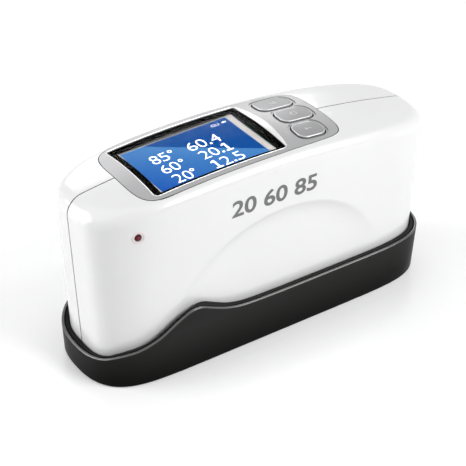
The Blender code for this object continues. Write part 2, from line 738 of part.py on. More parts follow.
# Main board and the holder that frames the display
board_low = board_top - BOARD_THICK
board_outline = rounded_outline(BOARD_LENGTH, BOARD_WIDTH, BOARD_CORNER)
main_board = slab("main_board", board_outline, board_low, board_top, PARTS, BOARD, centre=(BOARD_CENTRE, 0.0))
holder_inner = (LCD_LENGTH + 2 * FIT, LCD_WIDTH + 2 * FIT)
holder_outer = (holder_inner[0] + 2 * HOLDER_WALL, holder_inner[1] + 2 * HOLDER_WALL)
holder_corners = [top_height(WINDOW_CENTRE + i * holder_outer[0] / 2, holder_outer[1] / 2) for i in (-1, 1)]
holder_high = min(holder_corners) - under_window
holder_outline = rounded_outline(*holder_outer, WINDOW_CORNER, 2)
lcd_holder = slab("lcd_holder", holder_outline, board_top + FIT, holder_high, PARTS, DARK,
                  centre=(WINDOW_CENTRE, 0.0))
holder_room = slab("holder_room", rounded_outline(*holder_inner, FIT, 1), board_top - FIT, CASE_TOP, CUTTERS,
                   centre=(WINDOW_CENTRE, 0.0))
boolean(lcd_holder, holder_room)

# Red status lamp in the front wall
lens_profile = []
for degrees in (0, 25, 50, 72, 90):
    angle = math.radians(degrees)
    lens_profile.append((STATUS_RADIUS * math.sin(angle), STATUS_DOME * (math.cos(angle) - 1)))
lens_profile += [(STATUS_RADIUS, -STATUS_LENGTH), (0.0, -STATUS_LENGTH)]
status_lens = turned("status_lamp", lens_profile, PARTS, RED, steps=20)
status_lens.matrix_world = Matrix.Translation(status_point + status_out * FIT) @ aim(status_out)

# Floor plate with the measuring slot
floor_plate = slab("floor_plate", case_outline(FOOT_Z + PLATE_THICK / 2, -FIT / 2, 14), FOOT_Z,
                   FOOT_Z + PLATE_THICK, PARTS, DARK)
slot_cut = slab("slot_cut", rounded_outline(SLOT_LENGTH, SLOT_WIDTH, SLOT_CORNER), FOOT_Z - REACH / 4,
                FOOT_Z + REACH / 4, CUTTERS)
boolean(floor_plate, slot_cut)

# Optical block, its section drawn along the case and run across it
block_low = SHELL_Z
cradle_low = board_low - CELL_ROOM - 2 * CELL_RADIUS - FIT - CRADLE_WALL
block_high = cradle_low - FIT
block_height = block_high - block_low
block_top = BLOCK_END - BLOCK_SLOPE
block_section = [Vector((-BLOCK_END, 0)), Vector((BLOCK_END, 0)), Vector((BLOCK_END, BLOCK_SHOULDER)),
                 Vector((block_top, block_height)), Vector((-block_top, block_height)),
                 Vector((-BLOCK_END, BLOCK_SHOULDER))]
optical_block = slab("optical_block", block_section, -BLOCK_WIDTH / 2, BLOCK_WIDTH / 2, PARTS, DARK)
optical_block.matrix_world = Matrix.Translation((0, 0, block_low)) @ Matrix.Rotation(math.radians(90), 4, "X")
bevel(optical_block, BLOCK_EDGE, 1, 30.0)
spot = Vector((0, 0, BASE_FLOOR))


def way_out(angle):
    """Distance along a ray from the measuring spot to the outside of the optical block."""
    lean = math.radians(angle)
    lift = block_low - spot.z
    slant = (block_height - BLOCK_SHOULDER) / BLOCK_SLOPE
    end = BLOCK_END / math.sin(lean)
    top = (block_height + lift) / math.cos(lean)
    side = (BLOCK_SHOULDER + lift + slant * BLOCK_END) / (math.cos(lean) + slant * math.sin(lean))
    return min(end, top, side)


shared = {}
for angle, lens_set in CHANNELS:
    name = "%d" % angle
    distance = way_out(angle) - lens_set
    room_below = distance * math.cos(math.radians(angle)) - (FOOT_Z + PLATE_THICK - BASE_FLOOR)
    radius = min(CHANNEL_RADIUS, room_below - CHANNEL_FLOOR)
    for side, source in ((-1, True), (1, False)):
        lean = math.radians(angle) * side
        ray = Vector((math.sin(lean), 0, math.cos(lean)))
        bore = rod("bore_%s_%s" % (name, "in" if source else "out"), radius + FIT, REACH * 3,
                   spot + ray * REACH * 1.5, CUTTERS, direction=ray, sides=20)
        boolean(optical_block, bore)
        lens_name = ("source_lens_" if source else "receiver_lens_") + name
        lens = shared.get(("lens", name))
        profile = [(radius * across, LENS_THICK * high) for across, high in LENS_FRONT]
        profile += [(radius, -LENS_THICK * LENS_BACK), (0.0, -LENS_THICK * LENS_BACK)]
        if lens is None:
            lens = turned(lens_name, profile, PARTS, OPTIC, steps=16)
            shared[("lens", name)] = lens
        else:
            lens = turn_about(place(lens_name, lens.data, PARTS), 16)
        lens.matrix_world = Matrix.Translation(spot + ray * distance) @ aim(ray)
        after = distance + LENS_THICK
        if source:
            bulb = [(radius * math.sin(math.radians(a)), radius * (1 - math.cos(math.radians(a))))
                    for a in (90, 60, 30, 0)]
            profile = [(0.0, LAMP_LENGTH), (radius, LAMP_LENGTH)] + bulb
            lamp = turned("lamp_" + name, profile, PARTS, LAMP, steps=16)
            lamp.matrix_world = Matrix.Translation(spot + ray * (after + FIT)) @ aim(ray)
        else:
            middle = spot + ray * (after + FIT + DETECTOR_LENGTH / 2)
            rod("detector_" + name, radius, DETECTOR_LENGTH, middle, PARTS, SENSOR, direction=ray, sides=18)

# Screws that hold the floor plate to the optical block
plate_screw = None
for number, (side_x, side_y) in enumerate(((-1, -1), (1, -1), (1, 1), (-1, 1))):
    x = side_x * (BLOCK_END - PLATE_SCREW_INSET)
    y = side_y * (BLOCK_WIDTH / 2 - PLATE_SCREW_SIDE)
    seat = FOOT_Z + HEAD_THICK
    hole = rod("plate_screw_hole_%d" % (number + 1), SHANK_RADIUS + FIT, 2 * (PLATE_SCREW_LENGTH + FIT),
               (x, y, seat), CUTTERS, sides=12)
    well = rod("plate_screw_well_%d" % (number + 1), HEAD_RADIUS + FIT, 2 * HEAD_THICK, (x, y, FOOT_Z),
               CUTTERS, sides=18)
    boolean(floor_plate, hole)
    boolean(floor_plate, well)
    boolean(optical_block, hole)
    plate_screw = screw("plate_screw_%d" % (number + 1), PLATE_SCREW_LENGTH, (x, y, seat - FIT / 2),
                        (0, 0, -1), plate_screw)

# Battery cell in a trough above the optical block
cell_z = cradle_low + CRADLE_WALL + FIT + CELL_RADIUS
cell_half = CELL_LENGTH / 2
cell_cap = CELL_RADIUS - CELL_EDGE
cell_profile = [(0.0, cell_half), (cell_cap, cell_half), (CELL_RADIUS, cell_half - CELL_EDGE),
                (CELL_RADIUS, CELL_EDGE - cell_half), (cell_cap, -cell_half), (0.0, -cell_half)]
cell = turned("battery_cell", cell_profile, PARTS, CELL, steps=24)
cell.matrix_world = Matrix.Translation((CELL_X, 0, cell_z)) @ aim((1, 0, 0))
cradle_height = CRADLE_WALL + FIT + CELL_RADIUS * CRADLE_REACH
cradle_size = (CELL_LENGTH + 2 * (FIT + CRADLE_WALL), 2 * (CELL_RADIUS + CRADLE_WALL), cradle_height)
cradle = box("battery_cradle", cradle_size, (CELL_X, 0, cradle_low + cradle_height / 2), PARTS, DARK)
trough = rod("trough", CELL_RADIUS + FIT, CELL_LENGTH + 2 * FIT, (CELL_X, 0, cell_z), CUTTERS,
             direction=(1, 0, 0), sides=32)
boolean(cradle, trough)

# Charging socket on its own small board
socket_front = socket_wall - SOCKET_SINK
socket = box("charge_socket", (SOCKET_LENGTH, SOCKET_WIDTH, SOCKET_HEIGHT),
             (socket_front - SOCKET_LENGTH / 2, 0, SOCKET_Z), PARTS, STEEL)
mouth_size = (SOCKET_LENGTH, SOCKET_WIDTH - 2 * SOCKET_SHELL, SOCKET_HEIGHT - 2 * SOCKET_SHELL)
boolean(socket, box("socket_mouth", mouth_size, (socket_front, 0, SOCKET_Z), CUTTERS))
charge_x = socket_wall - CASE_WALL - CHARGE_INSET - CHARGE_BOARD / 2
charge_z = SOCKET_Z - SOCKET_HEIGHT / 2 - FIT - CHARGE_BOARD_THICK / 2
box("charge_board", (CHARGE_BOARD, CHARGE_BOARD, CHARGE_BOARD_THICK), (charge_x, 0, charge_z), PARTS, BOARD)


def base_section(share):
    """Half length and half width of the base, from its foot at 0 to its lip at 1."""
    half_length, half_width, _ = case_section(BASE_RIM)
    grow = BASE_FIT + BASE_WALL - BASE_DRAFT * (1 - share)
    return half_length + grow, half_width + grow


def lip_height(x):
    """Height of the lip of the base at a place along it, a smooth curve through the marks."""
    place_along = x + base_section(1.0)[0]
    if place_along >= LIP_MARKS[-1][0]:
        return BASE_RIM
    index = 0
    while index < len(LIP_MARKS) - 2 and LIP_MARKS[index + 1][0] < place_along:
        index += 1

    def slope(mark):
        x_low, z_low = LIP_MARKS[max(mark - 1, 0)]
        x_high, z_high = LIP_MARKS[min(mark + 1, len(LIP_MARKS) - 1)]
        return (z_high - z_low) / (x_high - x_low)

    (x_low, z_low), (x_high, z_high) = LIP_MARKS[index], LIP_MARKS[index + 1]
    span = x_high - x_low
    part = max(0.0, (place_along - x_low) / span)
    ease = part * part * (3 - 2 * part)
    start = slope(index) * span * part * (1 - part) ** 2
    finish = slope(index + 1) * span * part ** 2 * (1 - part)
    return z_low + (z_high - z_low) * ease + start - finish


def base_outline(share):
    half_length, half_width = base_section(share)
    return plan_outline(2 * half_length, 2 * half_width, BASE_SQUARENESS, BASE_SIDE_SQUARENESS)


# Calibration base: outer wall, wavy lip, inner wall and floor in one closed surface
base_low, base_high = base_outline(0.0), base_outline(1.0)
room_low, room_high = case_outline(0.0, BASE_FIT), case_outline(BASE_RIM, BASE_FIT)
lips = [lip_height(p.x) for p in base_high]


def base_ring(low, high, heights, shift=0.0):
    """Ring of the base at one height for each point, moved inward by shift."""
    ring = []
    total = len(low)
    for i in range(total):
        flat = low[i].lerp(high[i], heights[i] / BASE_RIM)
        along = high[(i + 1) % total] - high[i - 1]
        flat = flat + Vector((-along.y, along.x)).normalized() * shift
        ring.append(Vector((flat.x, flat.y, heights[i])))
    return ring


level = [0.0] * len(lips)
base_rings = [base_ring(base_low, base_high, level, BASE_EDGE),
              base_ring(base_low, base_high, [BASE_EDGE] * len(lips)),
              base_ring(base_low, base_high, [h * 0.5 for h in lips]),
              base_ring(base_low, base_high, [h - LIP_EDGE for h in lips]),
              base_ring(base_low, base_high, lips, LIP_EDGE),
              base_ring(room_low, room_high, lips, -LIP_EDGE / 2),
              base_ring(room_low, room_high, [h - LIP_EDGE / 2 for h in lips]),
              base_ring(room_low, room_high, [BASE_FLOOR + BASE_EDGE] * len(lips)),
              base_ring(room_low, room_high, [BASE_FLOOR] * len(lips), BASE_EDGE)]
calibration_base = smooth(loft("calibration_base", base_rings, PARTS, BLACK), 40.0)

# Black glass tile under a thin screwed frame in the floor of the base
retainer_high = BASE_FLOOR - FIT / 3
retainer_low = retainer_high - RETAINER_THICK
tile_high = retainer_low - FIT
pad_high = tile_high - TILE_THICK - FIT
pad_low = pad_high - PAD_THICK
retainer_length = TILE_LENGTH + 2 * RETAINER_END
retainer_width = TILE_WIDTH + 2 * RETAINER_SIDE
seat_outline = rounded_outline(retainer_length + 2 * FIT, retainer_width + 2 * FIT, RETAINER_CORNER)
retainer_seat = slab("retainer_seat", seat_outline, retainer_low - FIT, BASE_FLOOR + REACH / 4, CUTTERS)
tile_pocket = box("tile_pocket", (TILE_LENGTH + 2 * FIT, TILE_WIDTH + 2 * FIT, REACH / 4),
                  (0, 0, pad_low - FIT + REACH / 8), CUTTERS)
boolean(calibration_base, retainer_seat)
boolean(calibration_base, tile_pocket)
box("tile_pad", (TILE_LENGTH, TILE_WIDTH, PAD_THICK), (0, 0, pad_low + PAD_THICK / 2), PARTS, FOAM)
box("calibration_tile", (TILE_LENGTH, TILE_WIDTH, TILE_THICK), (0, 0, tile_high - TILE_THICK / 2), PARTS,
    TILE)
retainer_outline = rounded_outline(retainer_length, retainer_width, RETAINER_CORNER)
retainer = slab("tile_retainer", retainer_outline, retainer_low, retainer_high, PARTS, STEEL)
room_outline = rounded_outline(TILE_LENGTH - 2 * RETAINER_OVERLAP, TILE_WIDTH - 2 * RETAINER_OVERLAP,
                               RETAINER_CORNER / 2)
boolean(retainer, slab("retainer_room", room_outline, 0.0, BASE_FLOOR * 2, CUTTERS))
retainer_screw = None
for number, side in enumerate((-1, 1)):
    x = side * (TILE_LENGTH + RETAINER_END) / 2
    hole = rod("retainer_screw_hole_%d" % (number + 1), SHANK_RADIUS + FIT,
               2 * (RETAINER_SCREW_LENGTH + HEAD_THICK + FIT), (x, 0, retainer_high), CUTTERS, sides=12)
    boolean(calibration_base, hole)
    boolean(retainer, hole)
    well = rod("retainer_well_%d" % (number + 1), HEAD_RADIUS + FIT, 2 * HEAD_THICK, (x, 0, retainer_high),
               CUTTERS, sides=18)
    boolean(retainer, well)
    boolean(calibration_base, well)
    retainer_screw = screw("retainer_screw_%d" % (number + 1), RETAINER_SCREW_LENGTH,
                           (x, 0, retainer_high - HEAD_THICK + FIT / 2), (0, 0, 1), retainer_screw)
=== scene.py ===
# %% [markdown]
# A pocket gloss meter: a white two-part housing, a silver top panel with a colour display and three
# keys, and a black calibration base that the meter stands in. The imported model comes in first. It
# is the fixed frame for every piece made here, so its box is kept before anything is added.
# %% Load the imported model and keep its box
from math import copysign, cos, hypot, pi, radians, sin
import bmesh
import bpy
from mathutils import Matrix, Vector


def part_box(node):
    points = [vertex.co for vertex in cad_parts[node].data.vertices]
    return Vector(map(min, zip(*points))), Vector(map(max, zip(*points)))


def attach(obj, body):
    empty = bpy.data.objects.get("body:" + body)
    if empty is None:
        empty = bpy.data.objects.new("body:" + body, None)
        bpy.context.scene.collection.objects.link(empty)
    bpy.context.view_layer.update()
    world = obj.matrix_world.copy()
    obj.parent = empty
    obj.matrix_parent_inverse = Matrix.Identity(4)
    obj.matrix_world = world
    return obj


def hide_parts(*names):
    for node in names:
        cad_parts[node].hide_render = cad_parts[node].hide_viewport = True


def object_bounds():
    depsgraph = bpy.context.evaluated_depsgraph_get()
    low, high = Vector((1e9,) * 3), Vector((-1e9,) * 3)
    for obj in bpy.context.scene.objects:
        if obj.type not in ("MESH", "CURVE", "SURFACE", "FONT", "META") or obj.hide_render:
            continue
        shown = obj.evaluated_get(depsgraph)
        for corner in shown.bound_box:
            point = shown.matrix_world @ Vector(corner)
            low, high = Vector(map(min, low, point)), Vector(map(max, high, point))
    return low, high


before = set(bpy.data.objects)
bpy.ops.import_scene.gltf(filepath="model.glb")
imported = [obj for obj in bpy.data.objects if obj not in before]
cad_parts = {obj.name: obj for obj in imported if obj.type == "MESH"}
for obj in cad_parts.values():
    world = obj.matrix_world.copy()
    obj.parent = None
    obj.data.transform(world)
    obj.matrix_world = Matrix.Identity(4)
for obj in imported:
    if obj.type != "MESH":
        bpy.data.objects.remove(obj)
cad_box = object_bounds()
print("packed model, mm:", [round(1000 * (b - a), 1) for a, b in zip(*cad_box)])

# %% [markdown]
# The camera comes early, because it says how much detail will show. It looks down at the front and
# the left end from arm's length with a long lens, so the long sides stay nearly parallel. A camera
# looks along its own -Z, so its axes are worked out first and set as columns of its matrix.
# %% Camera at the viewing angle
TARGET, DISTANCE = Vector((-0.0065, 0.0, 0.03471)), 0.5263
AZIMUTH, ELEVATION, ROLL = (radians(a) for a in (-34.648, 34.147, 0.938))
SENSOR, LENS = 36.0, 105.13
scene = bpy.context.scene


def add(name, data, paint=None):
    """A new object in the scene, with its finish."""
    item = bpy.data.objects.new(name, data)
    scene.collection.objects.link(item)
    if paint is not None:
        data.materials.append(paint)
    return item


back = Vector((sin(AZIMUTH) * cos(ELEVATION), -cos(AZIMUTH) * cos(ELEVATION), sin(ELEVATION)))
level = Vector((cos(AZIMUTH), sin(AZIMUTH), 0.0))
upright = back.cross(level)
right = level * cos(ROLL) + upright * sin(ROLL)
up = upright * cos(ROLL) - level * sin(ROLL)
camera = add("camera", bpy.data.cameras.new("camera"))
camera.data.sensor_width, camera.data.lens = SENSOR, LENS
turn = Matrix((right, up, back)).transposed().to_4x4()
camera.matrix_world = Matrix.Translation(TARGET + back * DISTANCE) @ turn
scene.camera = camera
print("camera at, mm:", [round(1000 * c, 1) for c in camera.matrix_world.translation])

# %% [markdown]
# World, floor and finishes are all trees of nodes. One helper adds a node: each input gets either a
# plain value or the output of another node, which is then linked to it.
# %% Helpers for node trees


def feed(tree, item, inputs):
    """Give inputs of a node their values or their links."""
    for name, value in inputs.items():
        if isinstance(value, bpy.types.NodeSocket):
            tree.links.new(value, item.inputs[name])
        else:
            item.inputs[name].default_value = value


def node(tree, kind, inputs=None, **settings):
    """A new node with its settings, values and links. What comes back is its outputs."""
    item = tree.nodes.new("ShaderNode" + kind)
    for name, value in settings.items():
        setattr(item, name, value)
    feed(tree, item, inputs or {})
    return item.outputs


def seen(tree):
    """One for camera, glossy and transmission rays, and nothing for all others."""
    path = node(tree, "LightPath")
    sight = path["Is Camera Ray"]
    for ray in ("Is Glossy Ray", "Is Transmission Ray"):
        sight = node(tree, "Math", {0: sight, 1: path[ray]}, operation="MAXIMUM")[0]
    return sight


print("node helpers ready")

# %% [markdown]
# Plain studio light. A broad lamp overhead keeps the shadow short and soft. One stands low at the
# left end and one half high before the front, and the rounded corner between them gets a little
# less of both, which draws the vertical soft band there. A smaller one at the back is mirrored in
# the panel, and a narrow strip adds a thin line of light along each long edge. Each lamp keeps its
# first side along X. The world fills in, and what camera, mirrors and glass see of it is white.
# %% World and lamps
LAMP_AIM, LAMP_REACH, FILL = Vector((0.0, 0.0, 0.04)), 1.15, 0.06
LAMPS = {"lamp_above": ((-0.50, 0.05, 1.0), 1.5, 1.3, 3.6),
         "lamp_left": ((-0.90, 0.43, 0.30), 0.8, 0.8, 9.9),
         "lamp_front": ((0.50, -0.84, 0.62), 0.7, 0.6, 10.4),
         "lamp_rear": ((0.28, 0.85, 0.45), 1.0, 0.45, 3.0),
         "lamp_strip": ((0.47, -0.38, 0.80), 1.2, 0.07, 1.3)}
scene.view_settings.view_transform = "Standard"
world = bpy.data.worlds.new("studio")
scene.world = world
world.use_nodes = True
tree = world.node_tree
tree.nodes.clear()
dim = node(tree, "Background", {"Color": (0.95, 0.97, 1.0, 1.0), "Strength": FILL})
white = node(tree, "Background", {"Color": (1.0, 1.0, 1.0, 1.0), "Strength": 1.0})
both = node(tree, "MixShader", {0: seen(tree), 1: dim[0], 2: white[0]})
node(tree, "OutputWorld", {"Surface": both[0]})


def lamp(name, direction, width, height, power):
    """An area lamp in that direction from the meter, facing it, with its width along X."""
    light = bpy.data.lights.new(name, "AREA")
    light.shape, light.size, light.size_y, light.energy = "RECTANGLE", width, height, power
    out = Vector(direction).normalized()
    across = (Vector((1.0, 0.0, 0.0)) - out * out.x).normalized()
    turn_to = Matrix((across, out.cross(across), out)).transposed().to_4x4()
    add(name, light).matrix_world = Matrix.Translation(LAMP_AIM + out * LAMP_REACH) @ turn_to


for name, row in LAMPS.items():
    lamp(name, *row)
print("lamps:", sorted(LAMPS))

# %% [markdown]
# The floor is a pale sheet. What the camera sees is part its own light, so that it stays nearly
# white, and part real diffuse light, so that the shadow of the base still falls on it.
# %% Floor
FLOOR_HALF, FLOOR_DROP, FLOOR_GLOW = 3.0, 0.0002, 0.24
SQUARE = ((-1, -1), (1, -1), (1, 1), (-1, 1))
floor_mesh = bpy.data.meshes.new("floor")
floor_mesh.from_pydata([(x * FLOOR_HALF, y * FLOOR_HALF, 0) for x, y in SQUARE], [], [(0, 1, 2, 3)])
floor_paper = bpy.data.materials.new("floor_paper")
floor_paper.use_nodes = True
tree = floor_paper.node_tree
tree.nodes.clear()
coat = node(tree, "BsdfPrincipled", {"Base Color": (0.85, 0.85, 0.85, 1.0), "Roughness": 0.22})
glow, dark = (node(tree, "Emission", {"Strength": power}) for power in (FLOOR_GLOW, 0.0))
own = node(tree, "MixShader", {0: seen(tree), 1: dark[0], 2: glow[0]})
both = node(tree, "AddShader", {0: own[0], 1: coat[0]})
node(tree, "OutputMaterial", {"Surface": both[0]})
floor = add("floor", floor_mesh, floor_paper)
floor.location.z = -FLOOR_DROP
print("floor ready")

# %% [markdown]
# Two effects come back in most finishes. One is a fine grain, which gives a height for the bump
# and a roughness between two limits. The other is a slow drift between two tones, because no
# moulding or paint is one colour all over. Each is built once as a node group.
# %% Node groups: grain and tone


def new_group(name, *sockets):
    """A node group, its inputs, its last node and the place of each point on the object."""
    group = bpy.data.node_groups.new(name, "ShaderNodeTree")
    for label, way, kind, *value in sockets:
        socket = group.interface.new_socket(name=label, in_out=way, socket_type="NodeSocket" + kind)
        if value:
            socket.default_value = value[0]
    start, end = (group.nodes.new("NodeGroup" + way) for way in ("Input", "Output"))
    return group, start.outputs, end, node(group, "TexCoord")["Object"]


GRAIN, start, end, place = new_group(
    "surface_grain", ("Scale", "INPUT", "Float", 900.0), ("Rough Low", "INPUT", "Float", 0.2),
    ("Rough High", "INPUT", "Float", 0.3), ("Roughness", "OUTPUT", "Float"),
    ("Height", "OUTPUT", "Float"))
fine = node(GRAIN, "TexNoise", {"Vector": place, "Scale": start["Scale"], "Detail": 4.0})
smear = node(GRAIN, "TexNoise", {"Vector": place, "Scale": 55.0, "Detail": 2.0})
spread = node(GRAIN, "MapRange", {"Value": smear["Fac"], "From Min": 0.3, "From Max": 0.7,
                                  "To Min": start["Rough Low"], "To Max": start["Rough High"]})
feed(GRAIN, end, {"Roughness": spread["Result"], "Height": fine["Fac"]})

TONE, start, end, place = new_group(
    "tone_drift", ("First", "INPUT", "Color"), ("Second", "INPUT", "Color"),
    ("Scale", "INPUT", "Float", 30.0), ("Color", "OUTPUT", "Color"))
drift = node(TONE, "TexNoise", {"Vector": place, "Scale": start["Scale"], "Detail": 3.0})
blend = node(TONE, "Mix", {"Factor": drift["Fac"], "A": start["First"], "B": start["Second"]},
             data_type="RGBA")
feed(TONE, end, {"Color": blend["Result"]})
print("groups:", GRAIN.name, TONE.name)

# %% [markdown]
# Every finish below starts the same way: a Principled shader whose colour comes from the tone group
# and whose roughness and bump come from the grain group. What is the same all over, such as the
# metallic or the coat, is set on the shader's own sockets. Where a place has a colour of its own, a
# ramp over the place blends it in.
# %% Helpers for finishes


def tone_node(tree, first, second, scale):
    """A colour that drifts between two."""
    values = {"First": (*first, 1.0), "Second": (*second, 1.0), "Scale": scale}
    return node(tree, "Group", values, node_tree=TONE)["Color"]


def finish(name, first, second, rough, grain=900.0, bump=0.0, tone=30.0, **sockets):
    """A material with a drifting tone, a drifting roughness and a fine grain."""
    made = bpy.data.materials.new(name)
    made.use_nodes = True
    tree = made.node_tree
    wanted = {"Base Color": tone_node(tree, first, second, tone)}
    limits = {"Scale": grain, "Rough Low": rough[0], "Rough High": rough[1]}
    texture = node(tree, "Group", limits, node_tree=GRAIN)
    wanted["Roughness"] = texture["Roughness"]
    if bump > 0:
        relief = {"Strength": 1.0, "Distance": bump, "Height": texture["Height"]}
        wanted["Normal"] = node(tree, "Bump", relief)["Normal"]
    wanted.update({socket.replace("_", " "): value for socket, value in sockets.items()})
    feed(tree, tree.nodes["Principled BSDF"], wanted)
    return made


def ramp(tree, value, low, high):
    """Rises from nothing to one while the value goes from low to high."""
    return node(tree, "MapRange", {"Value": value, "From Min": low, "From Max": high})["Result"]


def mixed(tree, factor, first, second):
    values = {"Factor": factor, "A": first, "B": second}
    return node(tree, "Mix", values, data_type="RGBA")["Result"]


def blend_in(made, factor, colour):
    """Blend the tone of a finish towards another colour."""
    tree = made.node_tree
    blended = mixed(tree, factor, tree.nodes["Group"].outputs["Color"], colour)
    feed(tree, tree.nodes["Principled BSDF"], {"Base Color": blended})


def place_of(tree):
    return node(tree, "TexCoord")["Object"]


print("finish helpers ready")

# %% [markdown]
# The housing is glossy white ABS with a faint orange-peel; the panel is silver paint with fine
# flakes, and its bezel is polished brighter; the rims of the keys are polished too, and their
# lighter grey is a painted highlight; the keys are the same paint, a little darker; the base is
# black ABS with a fine spark-eroded texture, which is what keeps it satin, and the bead round its
# lip is polished, its grey a little lighter than the black as a painted highlight. The tray's tone
# falls a little towards its foot: painted shade, standing in for the shadow that its wall faces.
# The window has a coat against reflections, so its index is low.
# %% Finishes that show
WHITE = finish("gloss_white", (0.82, 0.82, 0.825), (0.85, 0.85, 0.855), (0.18, 0.25), grain=260.0,
               bump=4e-6, Coat_Weight=0.5, Coat_Roughness=0.10)
SILVER = finish("silver_paint", (0.34, 0.34, 0.345), (0.41, 0.41, 0.415), (0.34, 0.44),
                grain=9000.0, bump=1e-5, tone=4500.0, Metallic=0.55)
KEY_GREY = finish("grey_key", (0.26, 0.26, 0.265), (0.33, 0.33, 0.335), (0.38, 0.48),
                  grain=9000.0, bump=1e-5, tone=4500.0, Metallic=0.45)
BRIGHT = finish("polished_bezel", (0.74, 0.74, 0.745), (0.82, 0.82, 0.825), (0.20, 0.28),
                grain=5000.0, tone=600.0, Metallic=0.5)
BLACK = finish("satin_black", (0.0025, 0.0025, 0.0023), (0.0040, 0.0040, 0.0037), (0.30, 0.40),
               grain=3200.0, bump=5e-6, tone=60.0, Specular_IOR_Level=0.03)
# Painted shade: the black is lighter towards the lip and darker towards the foot, where the wall
# faces its own shadow.
SHADE_RAMP_FOOT, SHADE_RAMP_TOP, BLACK_ABOVE_PAINTED_SHADE = 0.001, 0.019, (0.024, 0.024, 0.0235, 1.0)
tree = BLACK.node_tree
rise = node(tree, "SeparateXYZ", {0: place_of(tree)})["Z"]
blend_in(BLACK, ramp(tree, rise, SHADE_RAMP_FOOT, SHADE_RAMP_TOP), BLACK_ABOVE_PAINTED_SHADE)
# Polished, and a lighter grey than the black: the lighter grey is a painted highlight along the
# bead.
BEAD_PAINTED_HIGHLIGHT = finish("polished_bead_painted_highlight", (0.035, 0.035, 0.034), (0.055, 0.055, 0.053), (0.16, 0.24),
              grain=2000.0, tone=90.0, Specular_IOR_Level=1.0)
INK = finish("border_ink", (0.003, 0.003, 0.003), (0.007, 0.006, 0.005), (0.35, 0.45),
             grain=2000.0, Specular_IOR_Level=0.0)
PRINT = finish("print_ink", (0.125, 0.125, 0.127), (0.155, 0.155, 0.157), (0.30, 0.40),
               grain=4000.0, bump=4e-6)
# Lighter than the keys: a painted highlight on the rims of the keys.
KEY_RIM_PAINTED_HIGHLIGHT = finish("key_rim_painted_highlight", (0.50, 0.50, 0.505), (0.60, 0.60, 0.605), (0.26, 0.34),
              grain=5000.0, tone=600.0, Metallic=0.5)
MARK = finish("mark_ink", (0.52, 0.52, 0.525), (0.60, 0.60, 0.605), (0.30, 0.40), grain=4000.0)
FRAME = finish("display_frame", (0.35, 0.335, 0.315), (0.42, 0.40, 0.38), (0.30, 0.42),
               grain=3000.0)
# Dark strips in the seams: painted shade for the shadow in the gaps.
SEAM_SHADE_DARK = finish("gasket", (0.010, 0.010, 0.011), (0.022, 0.022, 0.023), (0.55, 0.70),
                grain=2500.0, bump=1e-5, Specular_IOR_Level=0.2)
# Pale with a pink tint: the pink is a painted glow of the red lamp.
LAMP_RING_PINK_GLOW = finish("lamp_ring_painted_glow", (0.80, 0.70, 0.69), (0.86, 0.78, 0.77), (0.12, 0.20))
GLASS = finish("window_glass", (0.98, 0.99, 1.0), (1.0, 1.0, 1.0), (0.015, 0.03), IOR=1.04,
               Transmission_Weight=1.0)
print("finishes:", len([m for m in bpy.data.materials if m.use_nodes]))

# %% [markdown]
# Inside are boards, lenses, lamps and screws, seen only when the housing is opened. They keep the
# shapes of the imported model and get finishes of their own, one for each slot of the record.
# %% Finishes inside
INNER = {made.name.split(".")[0]: made for made in (
    finish("dark_moulding", (0.020, 0.020, 0.022), (0.035, 0.035, 0.037), (0.45, 0.6),
           grain=2500.0, bump=2e-5),
    finish("green_board", (0.010, 0.090, 0.045), (0.020, 0.150, 0.070), (0.30, 0.45), tone=900.0,
           grain=1500.0, bump=2e-5),
    finish("zinc_steel", (0.55, 0.56, 0.58), (0.68, 0.68, 0.69), (0.22, 0.38), grain=1800.0,
           bump=6e-6, tone=220.0, Metallic=1.0),
    finish("clear_optic", (0.97, 0.98, 1.0), (1.0, 1.0, 1.0), (0.01, 0.03), IOR=1.52,
           Transmission_Weight=1.0),
    finish("lamp_epoxy", (0.85, 0.84, 0.78), (0.92, 0.91, 0.86), (0.10, 0.2),
           Transmission_Weight=0.6),
    finish("sensor_can", (0.50, 0.46, 0.36), (0.66, 0.60, 0.46), (0.25, 0.4), Metallic=1.0,
           grain=2000.0, bump=4e-6),
    finish("cell_sleeve", (0.030, 0.070, 0.200), (0.045, 0.100, 0.260), (0.25, 0.35),
           grain=1200.0, bump=6e-6),
    finish("tile_glass", (0.004, 0.004, 0.005), (0.007, 0.007, 0.008), (0.01, 0.03),
           Coat_Weight=1.0, Coat_Roughness=0.01),
    finish("foam", (0.045, 0.045, 0.048), (0.075, 0.075, 0.078), (0.85, 0.98), grain=2600.0,
           bump=2e-4),
    finish("switch_moulding", (0.05, 0.05, 0.055), (0.07, 0.07, 0.075), (0.4, 0.5), grain=3000.0,
           bump=1e-5),
    finish("plunger_plastic", (0.62, 0.60, 0.54), (0.72, 0.70, 0.64), (0.35, 0.5), grain=3000.0,
           bump=1e-5))}
SLOTS = [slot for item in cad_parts.values() for slot in item.material_slots if slot.material]
for slot in SLOTS:
    slot.material = INNER.get(slot.material.name.split(".")[0], slot.material)
print("material names on the packed nodes:", sorted({slot.material.name for slot in SLOTS}))

